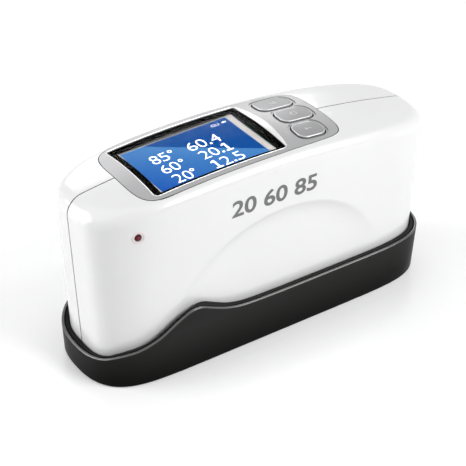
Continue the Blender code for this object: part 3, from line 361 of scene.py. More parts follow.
# %% [markdown]
# The case is one family of curves. Seen from above it is a superellipse, flatter on its long sides
# and rounder at its ends, and it grows a little from foot to top. The top is arched along and
# crowned across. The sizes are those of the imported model, so each skin lies where the solid does.
# %% Sizes of the case
CASE_LENGTH, CASE_WIDTH, CASE_TOP = 0.1550, 0.0476, 0.0802
TAPER_ALONG, TAPER_ACROSS = 0.0035, 0.00275
CREST_X, ARCH_RADIUS, CROWN_RADIUS = -0.0082, 0.3876, 0.1131
SIDE_FILLET, END_FILLET, LEAST_FILLET, CASE_WALL = 0.0034, 0.0060, 0.0008, 0.0030
FOOT_SQUARENESS, TOP_SQUARENESS, SIDE_SQUARENESS = 7.9, 4.7, 3.25
FIT = 0.0003
BASE_FLOOR, BASE_RIM, BASE_FIT = 0.0060, 0.0201, 0.0004
FOOT_Z = BASE_FLOOR + FIT
SHELL_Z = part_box("front_shell")[0].z
SHOULDER_Z = CASE_TOP - END_FILLET
FINE_STEPS, TURN_SHARE, NO_MOVE, NO_SPAN = 1200, 0.6, 1e-9, 1e-12


def quarter_turns(steps):
    """The angles of a quarter turn, both ends with it."""
    return [pi / 2 * step / steps for step in range(steps + 1)]


def full_turn(steps):
    return [2 * pi * step / steps for step in range(steps)]


def rounding(radius, steps):
    """A rounded edge: how far in and how far down, from the side wall to the top."""
    return [(radius * (1 - cos(a)), radius * (1 - sin(a))) for a in quarter_turns(steps)]


def quarter(half_length, half_width, power_x, power_y, count):
    """A quarter of a superellipse, its points spread by length and by turn."""
    raw = [Vector((half_length * cos(a) ** (2 / power_x), half_width * sin(a) ** (2 / power_y)))
           for a in quarter_turns(FINE_STEPS)]
    measure, heading = [0.0], None
    for first, second in zip(raw, raw[1:]):
        move = second - first
        swing = 0.0 if heading is None or move.length < NO_MOVE else abs(heading.angle(move))
        heading = move if move.length > NO_MOVE else heading
        measure.append(measure[-1] + move.length + swing * half_width * TURN_SHARE)
    picked, index = [], 0
    for share in range(count + 1):
        wanted = measure[-1] * share / count
        while index < FINE_STEPS - 1 and measure[index + 1] < wanted:
            index += 1
        part = (wanted - measure[index]) / max(measure[index + 1] - measure[index], NO_SPAN)
        picked.append(raw[index].lerp(raw[index + 1], min(part, 1.0)))
    return picked


def superellipse(half_length, half_width, power_x, power_y, count):
    """The whole outline, anticlockwise from the right end."""
    part = quarter(half_length, half_width, power_x, power_y, count)
    upper = part + [Vector((-p.x, p.y)) for p in reversed(part[:-1])]
    return upper + [Vector((p.x, -p.y)) for p in reversed(upper[1:-1])]


def top_height(x, y):
    return CASE_TOP - (x - CREST_X) ** 2 / (2 * ARCH_RADIUS) - y ** 2 / (2 * CROWN_RADIUS)


def case_section(z):
    """Half length, half width and squareness at one height."""
    drop = 1 - (z - FOOT_Z) / (CASE_TOP - FOOT_Z)
    power = TOP_SQUARENESS + (FOOT_SQUARENESS - TOP_SQUARENESS) * drop
    return CASE_LENGTH / 2 - TAPER_ALONG * drop, CASE_WIDTH / 2 - TAPER_ACROSS * drop, power


def side_y(x, section):
    """Half width of a section at x."""
    half_length, half_width, power = section
    return half_width * (1 - (abs(x) / half_length) ** power) ** (1 / SIDE_SQUARENESS)


print("case section at the foot, mm:", [round(1000 * v, 1) for v in case_section(SHELL_Z)[:2]])

# %% [markdown]
# Each grip is a shallow dish under an arch. It is shaped by moving the points of the wall inward:
# nothing outside the arch, the full depth well inside it, and a curve in between that starts at
# once and ends softly. That gives the crisp upper edge and the soft floor of a moulded finger grip.
# Nearly every piece is a closed mesh through rings of points, so one helper makes them all.
# %% Helpers for the grip and for meshes of rings
SCOOP_X, SCOOP_HALF, SCOOP_SPRING, SCOOP_RISE = 0.0010, 0.0500, 0.0100, 0.0463
SCOOP_SHALLOW, SCOOP_SLOPE = 0.0003, 0.0105


def dished(x, y, z):
    """The wall point with the grip pressed in."""
    depth = abs(y) - (case_section(BASE_RIM)[1] - SCOOP_SHALLOW)
    lift = max(0.0, z - SCOOP_SPRING) / SCOOP_RISE
    inside = (1 - hypot((x - SCOOP_X) / SCOOP_HALF, lift)) * SCOOP_RISE
    if inside <= 0 or depth <= 0:
        return y
    ease = min(1.0, inside / SCOOP_SLOPE)
    return y - copysign(depth * (1 - (1 - ease) ** 3), y)


def as_mesh(name, made):
    mesh = bpy.data.meshes.new(name)
    made.to_mesh(mesh)
    made.free()
    return mesh


def piece(name, rings, paint=None, band=False):
    """A closed mesh through rings of equal count, capped at both ends, or a band without ends."""
    made = bmesh.new()
    rows = [[made.verts.new(point) for point in ring] for ring in rings]
    count = len(rows[0])
    for low, high in zip(rows, rows[1:] + (rows[:1] if band else [])):
        for i in range(count):
            j = (i + 1) % count
            made.faces.new((low[i], low[j], high[j], high[i]))
    if not band:
        made.faces.new(list(reversed(rows[0])))
        made.faces.new(rows[-1])
    bmesh.ops.recalc_face_normals(made, faces=made.faces)
    return add(name, as_mesh(name, made), paint)


def add_second(item, paint, faces):
    """Give a run of faces a finish of their own."""
    item.data.materials.append(paint)
    for index in faces:
        item.data.polygons[index].material_index = 1


def crowned(outline, centre, lift):
    """The outline laid on the top of the case, above it by lift."""
    spots = [(p.x + centre[0], p.y + centre[1]) for p in outline]
    return [Vector((x, y, top_height(x, y) + lift)) for x, y in spots]


def crowned_band(name, corners, paint):
    """A band on the top of the case. Each of its corners is an outline and a lift."""
    rings = [crowned(outline, (0.0, 0.0), lift) for outline, lift in corners]
    return piece(name, rings, paint, band=True)


def inward(outline):
    """The way inward at each point of an outline."""
    alongs = [after - before for after, before in zip(outline[1:] + outline[:1],
                                                      outline[-1:] + outline[:-1])]
    return [Vector((-along.y, along.x)).normalized() for along in alongs]


def case_body(name, paint, inset, z_low, count, wall_rings, fillet_rings, scales, grips):
    """The body of the case, or its inside when inset is the wall."""
    def section(z):
        half_length, half_width, power = case_section(z)
        return superellipse(half_length - inset, half_width - inset, power, SIDE_SQUARENESS, count)
    low, shoulder = section(z_low), section(SHOULDER_Z)
    side, end = (max(fillet - inset, LEAST_FILLET) for fillet in (SIDE_FILLET, END_FILLET))
    half = max(p.x for p in shoulder)
    radii = [side + (end - side) * (abs(p.x) / half) ** 6 for p in shoulder]
    starts = [top_height(p.x, p.y) - inset - r for p, r in zip(shoulder, radii)]

    def wall(first, second, z):
        flat = first.lerp(second, (z - z_low) / (SHOULDER_Z - z_low))
        return Vector((flat.x, dished(flat.x, flat.y, z) if grips else flat.y, z))
    rings = [[wall(a, b, z_low + (z - z_low) * step / wall_rings)
              for a, b, z in zip(low, shoulder, starts)] for step in range(wall_rings + 1)]
    edge, ways = rings[-1], inward(shoulder)
    for angle in quarter_turns(fillet_rings)[1:]:
        ring = []
        for start, way, radius in zip(edge, ways, radii):
            move = way * radius * (1 - cos(angle))
            x, y = start.x + move.x, start.y + move.y
            ring.append(Vector((x, y, top_height(x, y) - inset - radius * (1 - sin(angle)))))
        rings.append(ring)
    last = rings[-1]
    rings += [crowned([p * scale for p in last], (0.0, 0.0), -inset) for scale in scales]
    return piece(name, rings, paint)


print("mesh helpers ready")

# %% [markdown]
# The panel, the window and the keys share outlines, which also cut their seats into the housing.
# The panel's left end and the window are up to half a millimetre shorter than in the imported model.
# %% Outlines of the panel, window and keys
PANEL_LENGTH, PANEL_WIDTH, PANEL_CENTRE = 0.0890, 0.0400, -0.0134
PANEL_THICK, PANEL_LEDGE, PANEL_TAPER, LEFT_SHORT = 0.0012, 0.0014, 0.085, 0.0005
WINDOW_LENGTH, WINDOW_WIDTH, WINDOW_CENTRE = 0.0553, 0.0346, -0.02325
WINDOW_CORNER, WINDOW_SINK, WINDOW_THICK = 0.0012, 0.0005, 0.0010
KEY_LENGTHS = {"mode": 0.0155, "enter": 0.0146, "return": 0.0122}
KEY_WIDTH, KEY_SLOT, KEY_CORNER = 0.0090, 0.0005, 0.0032
KEY_END, FAR_END, NEAR_END = (14.0, 6.0), (10.0, 3.4), (13.0, 3.8)
PANEL_PLACE, WINDOW_PLACE = (PANEL_CENTRE, 0.0), (WINDOW_CENTRE, 0.0)
KEYS = {name: (sum(c.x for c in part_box("key_" + name)) / 2,
               sum(c.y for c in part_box("key_" + name)) / 2) for name in KEY_LENGTHS}


def panel_outline(grow, count):
    """Rounder at the display end, squarer and narrowing at the key end, anticlockwise."""
    half_length, half_width = PANEL_LENGTH / 2 + grow, PANEL_WIDTH / 2 + grow
    left_length = half_length - LEFT_SHORT
    key_end = [Vector((p.x, p.y * (1 - PANEL_TAPER * (p.x / half_length) ** 2)))
               for p in quarter(half_length, half_width, *KEY_END, count)]
    far_end, near_end = (
        [Vector((-p.x, side * p.y)) for p in quarter(left_length, half_width, *powers, count)]
        for side, powers in ((1, FAR_END), (-1, NEAR_END)))
    return (key_end + list(reversed(far_end[:-1])) + near_end[1:]
            + [Vector((p.x, -p.y)) for p in reversed(key_end[1:-1])])


def rounded(length, width, radius, steps=8, straight=10):
    """A rectangle with rounded corners, its sides divided, anticlockwise."""
    corners = []
    for turns, (sx, sy) in enumerate(((1, 1), (-1, 1), (-1, -1), (1, -1))):
        middle = Vector((sx * (length / 2 - radius), sy * (width / 2 - radius)))
        angles = [pi / 2 * (turns + step / steps) for step in range(steps + 1)]
        corners += [middle + Vector((cos(a), sin(a))) * radius for a in angles]
    points = []
    for i, first in enumerate(corners, 1):
        parts = straight if i % (steps + 1) == 0 else 1
        second = corners[i % len(corners)]
        points += [first.lerp(second, part / parts) for part in range(parts)]
    return points


def rectangle(x_low, x_high, y_low, y_high, radius, steps, straight):
    """A rounded rectangle between two corners."""
    outline = rounded(x_high - x_low, y_high - y_low, radius, steps, straight)
    return moved(outline, ((x_low + x_high) / 2, (y_low + y_high) / 2))


def window_outline(grow, straight=16):
    return rounded(WINDOW_LENGTH + 2 * grow, WINDOW_WIDTH + 2 * grow, WINDOW_CORNER + grow, 6,
                   straight)


def key_outline(length, grow):
    return rounded(length + 2 * grow, KEY_WIDTH + 2 * grow, KEY_CORNER + grow, 8, 6)


def moved(outline, centre):
    return [p + Vector(centre) for p in outline]


def level_ring(outline, centre, z):
    return [Vector((p.x + centre[0], p.y + centre[1], z)) for p in outline]


print("keys at, mm:", {k: [round(1000 * c, 1) for c in v] for k, v in KEYS.items()})

# %% [markdown]
# Cuts are made as Booleans against plain closed cutters. A cutter with a finish of its own leaves
# that finish on the faces that it cuts. Afterwards the result is made one mesh, its crisp edges
# get a tiny round so that they catch a line of light, and it is shaded smooth.
# %% Cutting and rounding
WELD = 0.00002


def cutter(name, rings, paint=None):
    item = piece(name, rings, paint)
    item.hide_render = True
    return item


def box_cutter(name, low, high):
    corners = [(low[0], low[1]), (high[0], low[1]), (high[0], high[1]), (low[0], high[1])]
    return cutter(name, [[Vector((x, y, z)) for x, y in corners] for z in (low[2], high[2])])


def shaft(name, outline, centre, low, high):
    return cutter(name, [level_ring(outline, centre, z) for z in (low, high)])


def rod_cutter(name, start, end, radius, sides=40):
    start, end = Vector(start), Vector(end)
    turn_to = (end - start).to_track_quat("Z", "Y").to_matrix()
    circle = [turn_to @ Vector((radius * cos(a), radius * sin(a), 0.0)) for a in full_turn(sides)]
    return cutter(name, [[start + p for p in circle], [end + p for p in circle]])


def baked(item):
    """The mesh of an object with its modifiers, or of a line of letters."""
    bpy.context.view_layer.update()
    ready = item.evaluated_get(bpy.context.evaluated_depsgraph_get())
    return bpy.data.meshes.new_from_object(ready)


def bake(item):
    mesh = baked(item)
    item.modifiers.clear()
    item.data = mesh
    return item


def cut(item, tools, operation="DIFFERENCE"):
    """Apply the Booleans one after another and throw the cutters away."""
    for tool in tools:
        step = item.modifiers.new("cut", "BOOLEAN")
        step.operation, step.solver, step.object = operation, "EXACT", tool
        step.material_mode = "TRANSFER"
    bake(item)
    for tool in tools:
        bpy.data.objects.remove(tool, do_unlink=True)
    return item


def smooth(item, degrees):
    """Shade smooth, apart from edges sharper than that angle."""
    item.data.shade_smooth()
    item.data.set_sharp_from_angle(angle=radians(degrees))


def round_edges(item, width, degrees=48.0, shade=34.0):
    item.modifiers.new("weld", "WELD").merge_threshold = WELD
    step = item.modifiers.new("edge", "BEVEL")
    step.width, step.segments = width, 2
    step.limit_method, step.angle_limit = "ANGLE", radians(degrees)
    smooth(bake(item), shade)
    item.modifiers.new("even", "WEIGHTED_NORMAL").keep_sharp = True
    return bake(item)


print("cutting helpers ready")

# %% [markdown]
# The housing. One finely meshed body is hollowed, cut into a front and a rear half along a thin
# seam, and given the panel's seat, the socket's mouth, the lamp's hole and the screws' wells.
# %% Housing halves
SEAM, CRISP = 0.00026, 0.00012
LAMP_LOW, LAMP_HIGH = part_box("status_lamp")
LAMP_MIDDLE = (LAMP_LOW + LAMP_HIGH) / 2
SCREWS = [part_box("case_screw_%d" % n) for n in (1, 2, 3, 4)]
AXES = [((low.x + high.x) / 2, (low.z + high.z) / 2) for low, high in SCREWS]
BOSS_RADIUS, LENS_RADIUS, LAMP_FIT = 0.0035, 0.0016, 0.00005
HEAD_RADIUS = max(high.x - low.x for low, high in SCREWS) / 2
SEAT_TOP, SEAT_FOOT, OPENING_FOOT = 0.004, -PANEL_THICK - FIT, CASE_TOP - 0.014
HOLE_REACH, WELL_DEPTH, PAST = 0.012, 0.0012, 0.03
FAR_X, SOCKET_X, FAR_Y, BOSS_Y, FAR_LOW, FAR_HIGH = 0.1, 0.09, 0.06, 0.05, -0.02, 0.12
INSIDE = (24, 6, 4, (0.85, 0.6, 0.3), False)
OUTSIDE = (108, 104, 9, (0.97, 0.93, 0.88, 0.82, 0.74, 0.64, 0.5, 0.3), True)


def inner_body():
    inside = case_body("inside", None, CASE_WALL, SHELL_Z - PAST, *INSIDE)
    bosses = [rod_cutter("boss", (x, -BOSS_Y, z), (x, BOSS_Y, z), BOSS_RADIUS, 32)
              for x, z in AXES]
    inside.hide_render = True
    return cut(inside, bosses)


def panel_seat():
    """The recess for the panel, with the opening below it."""
    outline = panel_outline(FIT, 36)
    middle = [p * 0.5 for p in outline]
    seat = cutter("seat", [crowned(edge, PANEL_PLACE, lift) for edge, lift in (
        (middle, SEAT_FOOT), (outline, SEAT_FOOT), (outline, SEAT_TOP), (middle, SEAT_TOP))])
    hole = panel_outline(-PANEL_LEDGE, 24)
    return cut(seat, [shaft("opening", hole, PANEL_PLACE, OPENING_FOOT, FAR_X)], "UNION")


def lamp_direction():
    """Outward direction of the wall at the status lamp, seen from above."""
    half_length, half_width, power = section = case_section(LAMP_MIDDLE.z)
    y = side_y(LAMP_MIDDLE.x, section)
    slope_x = power / half_length * (abs(LAMP_MIDDLE.x) / half_length) ** (power - 1)
    slope_y = SIDE_SQUARENESS / half_width * (y / half_width) ** (SIDE_SQUARENESS - 1)
    return Vector((-slope_x, -slope_y, 0.0)).normalized()


def housing(name, side):
    """One half of the housing: side is -1 for the front and 1 for the rear."""
    shell = case_body(name, WHITE, 0.0, SHELL_Z, *OUTSIDE)
    low_y, high_y = sorted((-side * FAR_Y, side * SEAM))
    low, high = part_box("charge_socket")
    tools = [box_cutter("half", (-FAR_X, low_y, FAR_LOW), (FAR_X, high_y, FAR_HIGH)),
             inner_body(), panel_seat(),
             box_cutter("mouth", (low.x, low.y - FIT, low.z - FIT),
                        (SOCKET_X, high.y + FIT, high.z + FIT))]
    if side < 0:
        reach = lamp_direction() * HOLE_REACH
        tools.append(rod_cutter("lamp_hole", LAMP_MIDDLE - reach, LAMP_MIDDLE + reach,
                                LENS_RADIUS + LAMP_FIT))
    else:
        tools += [rod_cutter("well", (x, high.y - WELL_DEPTH, z), (x, high.y + PAST, z),
                             HEAD_RADIUS + FIT) for (x, z), (low, high) in zip(AXES, SCREWS)]
    return round_edges(cut(shell, tools), CRISP)


for name, side, node_name in (("housing_front", -1, "front_shell"),
                              ("housing_rear", 1, "rear_shell")):
    shell = housing(name, side)
    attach(shell, "meter")
    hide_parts(node_name)
    print(name, "faces:", len(shell.data.polygons))

# %% [markdown]
# The calibration base is a deep tray whose lip sweeps up to a crest on the left and then runs
# level. The lip follows a smooth curve through a few measured marks. The outer wall leans in
# towards the foot. The lip itself has a flat top next to the meter, then a narrow groove, and then
# a rounded, polished bead at its outer edge, which catches a line of light all the way round; the
# bead's grey, a little lighter than the black, adds a painted highlight to that line.
# %% Lip of the base
BASE_WALL, BASE_DRAFT, BASE_EDGE, BASE_SQUARENESS = 0.0031, 0.0007, 0.0008, (8.4, 2.41)
LIP_MARKS = ((0.0000, 0.0116), (0.0034, 0.0127), (0.0065, 0.0142), (0.0095, 0.0153),
             (0.0149, 0.0165), (0.0199, 0.0182), (0.0250, 0.0206), (0.0303, 0.0241),
             (0.0357, 0.0270), (0.0388, 0.0277), (0.0415, 0.0274), (0.0469, 0.0249),
             (0.0527, 0.0224), (0.0585, 0.0210), (0.0635, 0.0205), (0.0696, 0.0203),
             (0.0812, 0.0201))
BEAD_OUTER, BEAD_INNER, BEAD_TOP = 0.00042, 0.00025, 0.0008
GROOVE_DEPTH, GROOVE_END = 0.0007, 0.0016


def base_section(share):
    half_length, half_width, _ = case_section(BASE_RIM)
    grow = BASE_FIT + BASE_WALL - BASE_DRAFT * (1 - share)
    return half_length + grow, half_width + grow


def lip_height(x):
    along, last = x + base_section(1.0)[0], len(LIP_MARKS) - 1
    if along >= LIP_MARKS[-1][0]:
        return BASE_RIM
    index = max([0] + [k for k in range(last) if LIP_MARKS[k][0] < along])

    def slope(mark):
        before, after = LIP_MARKS[max(mark - 1, 0)], LIP_MARKS[min(mark + 1, last)]
        return (after[1] - before[1]) / (after[0] - before[0])
    (x_low, z_low), (x_high, z_high) = LIP_MARKS[index], LIP_MARKS[index + 1]
    span = x_high - x_low
    part = max(0.0, (along - x_low) / span)
    start = slope(index) * span * part * (1 - part) ** 2
    stop = slope(index + 1) * span * part ** 2 * (1 - part)
    return z_low + (z_high - z_low) * part * part * (3 - 2 * part) + start - stop


print("lip at the crest, mm:", round(1000 * max(lip_height(x / 1000) for x in range(-77, 77)), 1))

# %% Base
BEAD_BANDS, STEEP, CHAMFER, ROOM_EDGE = 9, 0.00002, 0.0001, 0.0015


def lip_profile():
    """How far in from the outer wall and how far below the lip: bead, groove and flat top."""
    inner = [(BEAD_TOP + BEAD_INNER * sin(a), BEAD_INNER * (1 - cos(a))) for a in quarter_turns(3)]
    return rounding(BEAD_OUTER, 5) + inner + [
        (BEAD_TOP + BEAD_INNER + STEEP, GROOVE_DEPTH), (GROOVE_END, GROOVE_DEPTH),
        (GROOVE_END + STEEP, CHAMFER), (GROOVE_END + STEEP + CHAMFER, 0.0)]


def base_tray(count):
    outer = [superellipse(*base_section(share), *BASE_SQUARENESS, count) for share in (0.0, 1.0)]
    room = [superellipse(length + BASE_FIT, width + BASE_FIT, power, SIDE_SQUARENESS, count)
            for length, width, power in (case_section(0.0), case_section(BASE_RIM))]
    lips = [lip_height(p.x) for p in outer[1]]
    total = len(lips)

    def ring(walls, heights, shift=0.0):
        points = []
        for low, high, way, z in zip(*walls, inward(walls[1]), heights):
            flat = low.lerp(high, z / BASE_RIM) + way * shift
            points.append(Vector((flat.x, flat.y, z)))
        return points
    rings = [ring(outer, [up] * total, shift) for up, shift in rounding(BASE_EDGE, 4)]
    for share in (0.25, 0.5, 0.75):
        rings.append(ring(outer, [BASE_EDGE + (h - BEAD_OUTER - BASE_EDGE) * share for h in lips]))
    bead_start = len(rings)
    rings += [ring(outer, [h - drop for h in lips], shift) for shift, drop in lip_profile()]
    rings += [ring(room, [h - drop for h in lips], -shift)
              for drop, shift in rounding(BEAD_INNER, 2)]
    for share in (0.7, 0.35, 0.0):
        rings.append(ring(room, [BASE_FLOOR + BASE_EDGE + (h - BASE_FLOOR - ROOM_EDGE) * share
                                 for h in lips]))
    rings.append(ring(room, [BASE_FLOOR] * total, BASE_EDGE))
    tray = piece("base_tray", rings, BLACK)
    add_second(tray, BEAD_PAINTED_HIGHLIGHT, range(bead_start * total, (bead_start + BEAD_BANDS) * total))
    return tray


base = base_tray(96)
cut(base, [box_cutter(name, (low.x - FIT, low.y - FIT, low.z - FIT),
                      (high.x + FIT, high.y + FIT, 0.02))
           for name, (low, high) in (("frame_seat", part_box("tile_retainer")),
                                     ("tile_pocket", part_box("tile_pad")))])
smooth(base, 40.0)
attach(base, "meter")
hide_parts("calibration_base")
print("base faces:", len(base.data.polygons))

# %% [markdown]
# The panel is a thin moulding that follows the crown of the housing. Round the window runs a
# sloped bezel, which widens to a crescent towards the keys, and the keys stand in a bed a little
# lower than the panel. All of it is cut from one plate, then its edges are rounded.
# %% Top panel
BEZEL_EDGE, BEZEL_BOW = 0.0004, 0.0022
BED_RIM, BED_DEPTH, DEEP, HOLE = 0.0014, 0.00035, 0.012, (0.06, 0.09)


def bezel_ring(side, bow, lift):
    points = []
    for p in window_outline(side):
        rise = max(0.0, 1 - (2 * p.y / WINDOW_WIDTH) ** 2)
        points.append(Vector((WINDOW_CENTRE + p.x + (bow * rise if p.x > 0 else 0.0), p.y)))
    return crowned(points, (0.0, 0.0), lift)


panel_edge = panel_outline(0.0, 44)
plate = [crowned([p * scale for p in panel_edge], PANEL_PLACE, lift) for lift, scales in (
    (-PANEL_THICK, (0.2, 0.5, 0.8, 1.0)), (0.0, (1.0, 0.98, 0.9, 0.8, 0.7, 0.6, 0.4, 0.2)))
    for scale in scales]
panel = piece("top_panel_skin", plate, SILVER)
tools = [shaft("window_hole", window_outline(FIT), WINDOW_PLACE, *HOLE),
         cutter("bezel", [bezel_ring(grow * BEZEL_EDGE, grow * BEZEL_BOW, lift) for grow, lift in (
             (0, -DEEP), (0, -WINDOW_SINK), (2, WINDOW_SINK), (2, DEEP))], BRIGHT)]
beds = []
for key, place in KEYS.items():
    bed = key_outline(KEY_LENGTHS[key], BED_RIM)
    beds.append(cutter("bed_" + key, [crowned(bed, place, lift) for lift in (-BED_DEPTH, DEEP)]))
tools.append(cut(beds[1], [beds[0], beds[2]], "UNION"))
tools += [shaft("slot_" + key, key_outline(KEY_LENGTHS[key], KEY_SLOT), place, *HOLE)
          for key, place in KEYS.items()]
round_edges(cut(panel, tools), CRISP, 30.0, 24.0)
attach(panel, "meter")
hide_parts("top_panel")
print("panel faces:", len(panel.data.polygons))

# %% [markdown]
# A thin polished bead edges the bezel. It stands a little proud of the panel, so that it shows as
# a bright line on the far sides of the window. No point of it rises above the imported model.
# %% Bead round the bezel
RING_WIDTH, RING_PROUD, RING_SHOULDER, RING_FOOT = 0.0003, 0.00010, 0.00003, -0.0003
ring = piece("bezel_bead", [
    bezel_ring(BEZEL_EDGE + RING_WIDTH * share, BEZEL_BOW, lift) for share, lift in (
        (0.0, RING_FOOT), (0.0, RING_SHOULDER), (0.25, RING_PROUD), (0.75, RING_PROUD),
        (1.0, RING_SHOULDER), (1.0, RING_FOOT))], BRIGHT, band=True)
for corner in ring.data.vertices:
    corner.co.z = min(corner.co.z, cad_box[1][2])
smooth(ring, 60.0)
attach(ring, "meter")
print("bead faces:", len(ring.data.polygons))

# %% [markdown]
# A thin dark strip fills the gap round the panel, and the two halves of the housing close on a
# tongue of the same dark stuff. Both are seen as fine dark lines; their darkness is painted shade,
# standing in for the shadow inside the seams. The tongue is a strip that follows the middle line of
# the case a little below its surface, once left and once right of the panel.
# %% Dark strips in the seams, painted shade: panel gap and tongue
TONGUE_TOP, TONGUE_FOOT, TONGUE_WIDTH, LINE_SINK = 0.00014, 0.0016, 0.00046, 0.0001
SEAM_SHADE_GROWS = (FIT + 0.00006, -0.00005)


def case_profile(inset, gap_low, gap_high):
    """The middle line of the case as two lists of points, left and right of a gap in its top."""
    low, high = (case_section(z)[0] - inset for z in (SHELL_Z, SHOULDER_Z))
    radius, sides = END_FILLET - inset, []
    for sign, stop in ((-1, gap_low), (1, gap_high)):
        start = top_height(sign * high, 0.0) - inset - radius
        wall_x = low + (high - low) * (start - SHELL_Z) / (SHOULDER_Z - SHELL_Z)
        points = [Vector((sign * (low + (wall_x - low) * share),
                          SHELL_Z + (start - SHELL_Z) * share)) for share in (0.0, 0.5)]
        for across, down in rounding(radius, 8):
            x = sign * (wall_x - across)
            points.append(Vector((x, top_height(x, 0.0) - inset - down)))
        last = points[-1].x
        for x in [last + (stop - last) * step / 12 for step in range(1, 13)]:
            points.append(Vector((x, top_height(x, 0.0) - inset)))
        sides.append(points)
    return sides


panel_left = PANEL_CENTRE - PANEL_LENGTH / 2 + LEFT_SHORT - FIT
panel_right = PANEL_CENTRE + PANEL_LENGTH / 2 + FIT
lines = [case_profile(inset, panel_left, panel_right) for inset in (TONGUE_TOP, TONGUE_FOOT)]
half = TONGUE_WIDTH / 2
for name, outer, inner in zip(("tongue_left", "tongue_right"), *lines):
    rings = [[Vector((p.x, y, p.y)) for p, y in ((a, -half), (a, half), (b, half), (b, -half))]
             for a, b in zip(outer, inner)]
    tongue = piece(name, rings, SEAM_SHADE_DARK)
    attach(tongue, "meter")
# Painted shade: a dark strip in the gap round the panel.
edges = [moved(panel_outline(grow, 44), PANEL_PLACE) for grow in SEAM_SHADE_GROWS]
gasket = crowned_band("panel_seam_shade", (
    (edges[0], -PANEL_THICK), (edges[0], -LINE_SINK), (edges[1], -LINE_SINK),
    (edges[1], -PANEL_THICK)), SEAM_SHADE_DARK)
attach(gasket, "meter")
print("gasket faces:", len(gasket.data.polygons))

# %% [markdown]
# Each key is a pillow: rings that step up the side, roll over a small polished rim, painted a
# lighter grey as a highlight, and then rise gently to the middle. It follows the slope of the panel,
# and it rides on its own body, so it can be pressed. A plain mark is printed on each: bars for the
# menu, a ring to enter, an arrow back.
# %% Keys
KEY_PROUD, KEY_ROUND, KEY_PILLOW, KEY_RIM = 0.00030, 0.00030, 0.00014, 0.00012
KEY_DEEP, KEY_DISH = 0.0028, 0.0001


def key_cap(name, place, length, foot):
    rings = [level_ring(key_outline(length, 0.0), place, foot)]
    rings += [crowned(key_outline(length, -across), place, KEY_PROUD - down)
              for across, down in rounding(KEY_ROUND, 5)]
    outline = key_outline(length, -KEY_ROUND - KEY_RIM)
    lifts = [(1.0, KEY_PROUD), (0.985, KEY_PROUD - KEY_DISH)]
    lifts += [(scale, KEY_PROUD - KEY_DISH + KEY_PILLOW * (1 - scale ** 2))
              for scale in (0.95, 0.85, 0.65, 0.4, 0.2)]
    rings += [crowned([p * scale for p in outline], place, lift) for scale, lift in lifts]
    cap = piece(name, rings, KEY_GREY)
    # The rim bands get the lighter grey, a painted highlight.
    add_second(cap, KEY_RIM_PAINTED_HIGHLIGHT, range(2 * len(outline), 7 * len(outline)))
    return cap


for key, place in KEYS.items():
    name, foot = "key_cap_" + key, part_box("key_" + key)[1].z - KEY_DEEP
    cap = key_cap(name, place, KEY_LENGTHS[key], foot)
    smooth(cap, 35.0)
    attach(cap, key + "_key")
    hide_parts("key_" + key)
print("keys made")

# %% Marks on the keys
MARK_SIZE, MARK_LINE, MARK_LIFT = 0.0015, 0.00035, KEY_PROUD + KEY_PILLOW - 0.00008


def flat_mark(key):
    """The polygons of one mark round the origin, in the plane."""
    s, w = MARK_SIZE, MARK_LINE
    if key == "mode":
        return [[(-s, y - w / 2), (s, y - w / 2), (s, y + w / 2), (-s, y + w / 2)]
                for y in (-s / 2, 0.0, s / 2)]
    if key == "return":
        return [[(-s, 0.0), (-s / 3, -s * 0.7), (-s / 3, s * 0.7)],
                [(-s / 3, -w / 2), (s, -w / 2), (s, w / 2), (-s / 3, w / 2)]]
    ovals = [[(cos(a) * wide, sin(a) * high) for a in full_turn(24) + [2 * pi]]
             for wide, high in ((s, s * 0.8), (s - w, s * 0.8 - w))]
    return [[a, b, c, d] for a, b, c, d in zip(ovals[0], ovals[0][1:], ovals[1][1:], ovals[1])]


for key, place in KEYS.items():
    made = bmesh.new()
    for polygon in flat_mark(key):
        points = crowned([Vector(p) for p in polygon], place, MARK_LIFT)
        made.faces.new([made.verts.new(p) for p in points])
    mark = add("key_mark_" + key, as_mesh("key_mark_" + key, made), MARK)
    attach(mark, key + "_key")
print("marks made")

# %% [markdown]
# Under the glass lies a black printed border, and under that the display cell: a pale metal frame
# round a lit blue screen. The screen's colour is its own light. It has two tones with a straight
# border between them: the darker far tone is the screen's own, and the lighter near part,
# brightening up to the border, is a painted reflection of the glass. Each tone drifts a little.
# %% Display cell
LCD_LOW, LCD_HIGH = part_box("lcd_module")
SCREEN = (-0.0469, -0.0010, -0.0148, 0.0146)
CELL_SIDE, CELL_DEEP, REFLECTION_BORDER_LEAN = 0.0154, 0.0018, 0.756
# The lighter near tones are a painted reflection; the far tones are the screen's own blue.
PAINTED_REFLECTION_TONES, PAINTED_REFLECTION_PEAK = ((0.008, 0.092, 0.450), (0.016, 0.120, 0.510)), (0.070, 0.255, 0.600, 1.0)
FAR = ((0.002, 0.070, 0.320), (0.004, 0.090, 0.380))


def screen_height(x):
    """Top face of the display cell, which leans with the arch."""
    z_low, z_high = (top_height(end.x, CELL_SIDE) - CELL_DEEP for end in (LCD_LOW, LCD_HIGH))
    return z_low + (z_high - z_low) * (x - LCD_LOW.x) / (LCD_HIGH.x - LCD_LOW.x)


def flat_piece(name, outline, lift, thick, paint):
    """A thin plate on the display cell."""
    rings = [[Vector((p.x, p.y, screen_height(p.x) + h)) for p in outline]
             for h in (lift - thick, lift)]
    return piece(name, rings, paint)


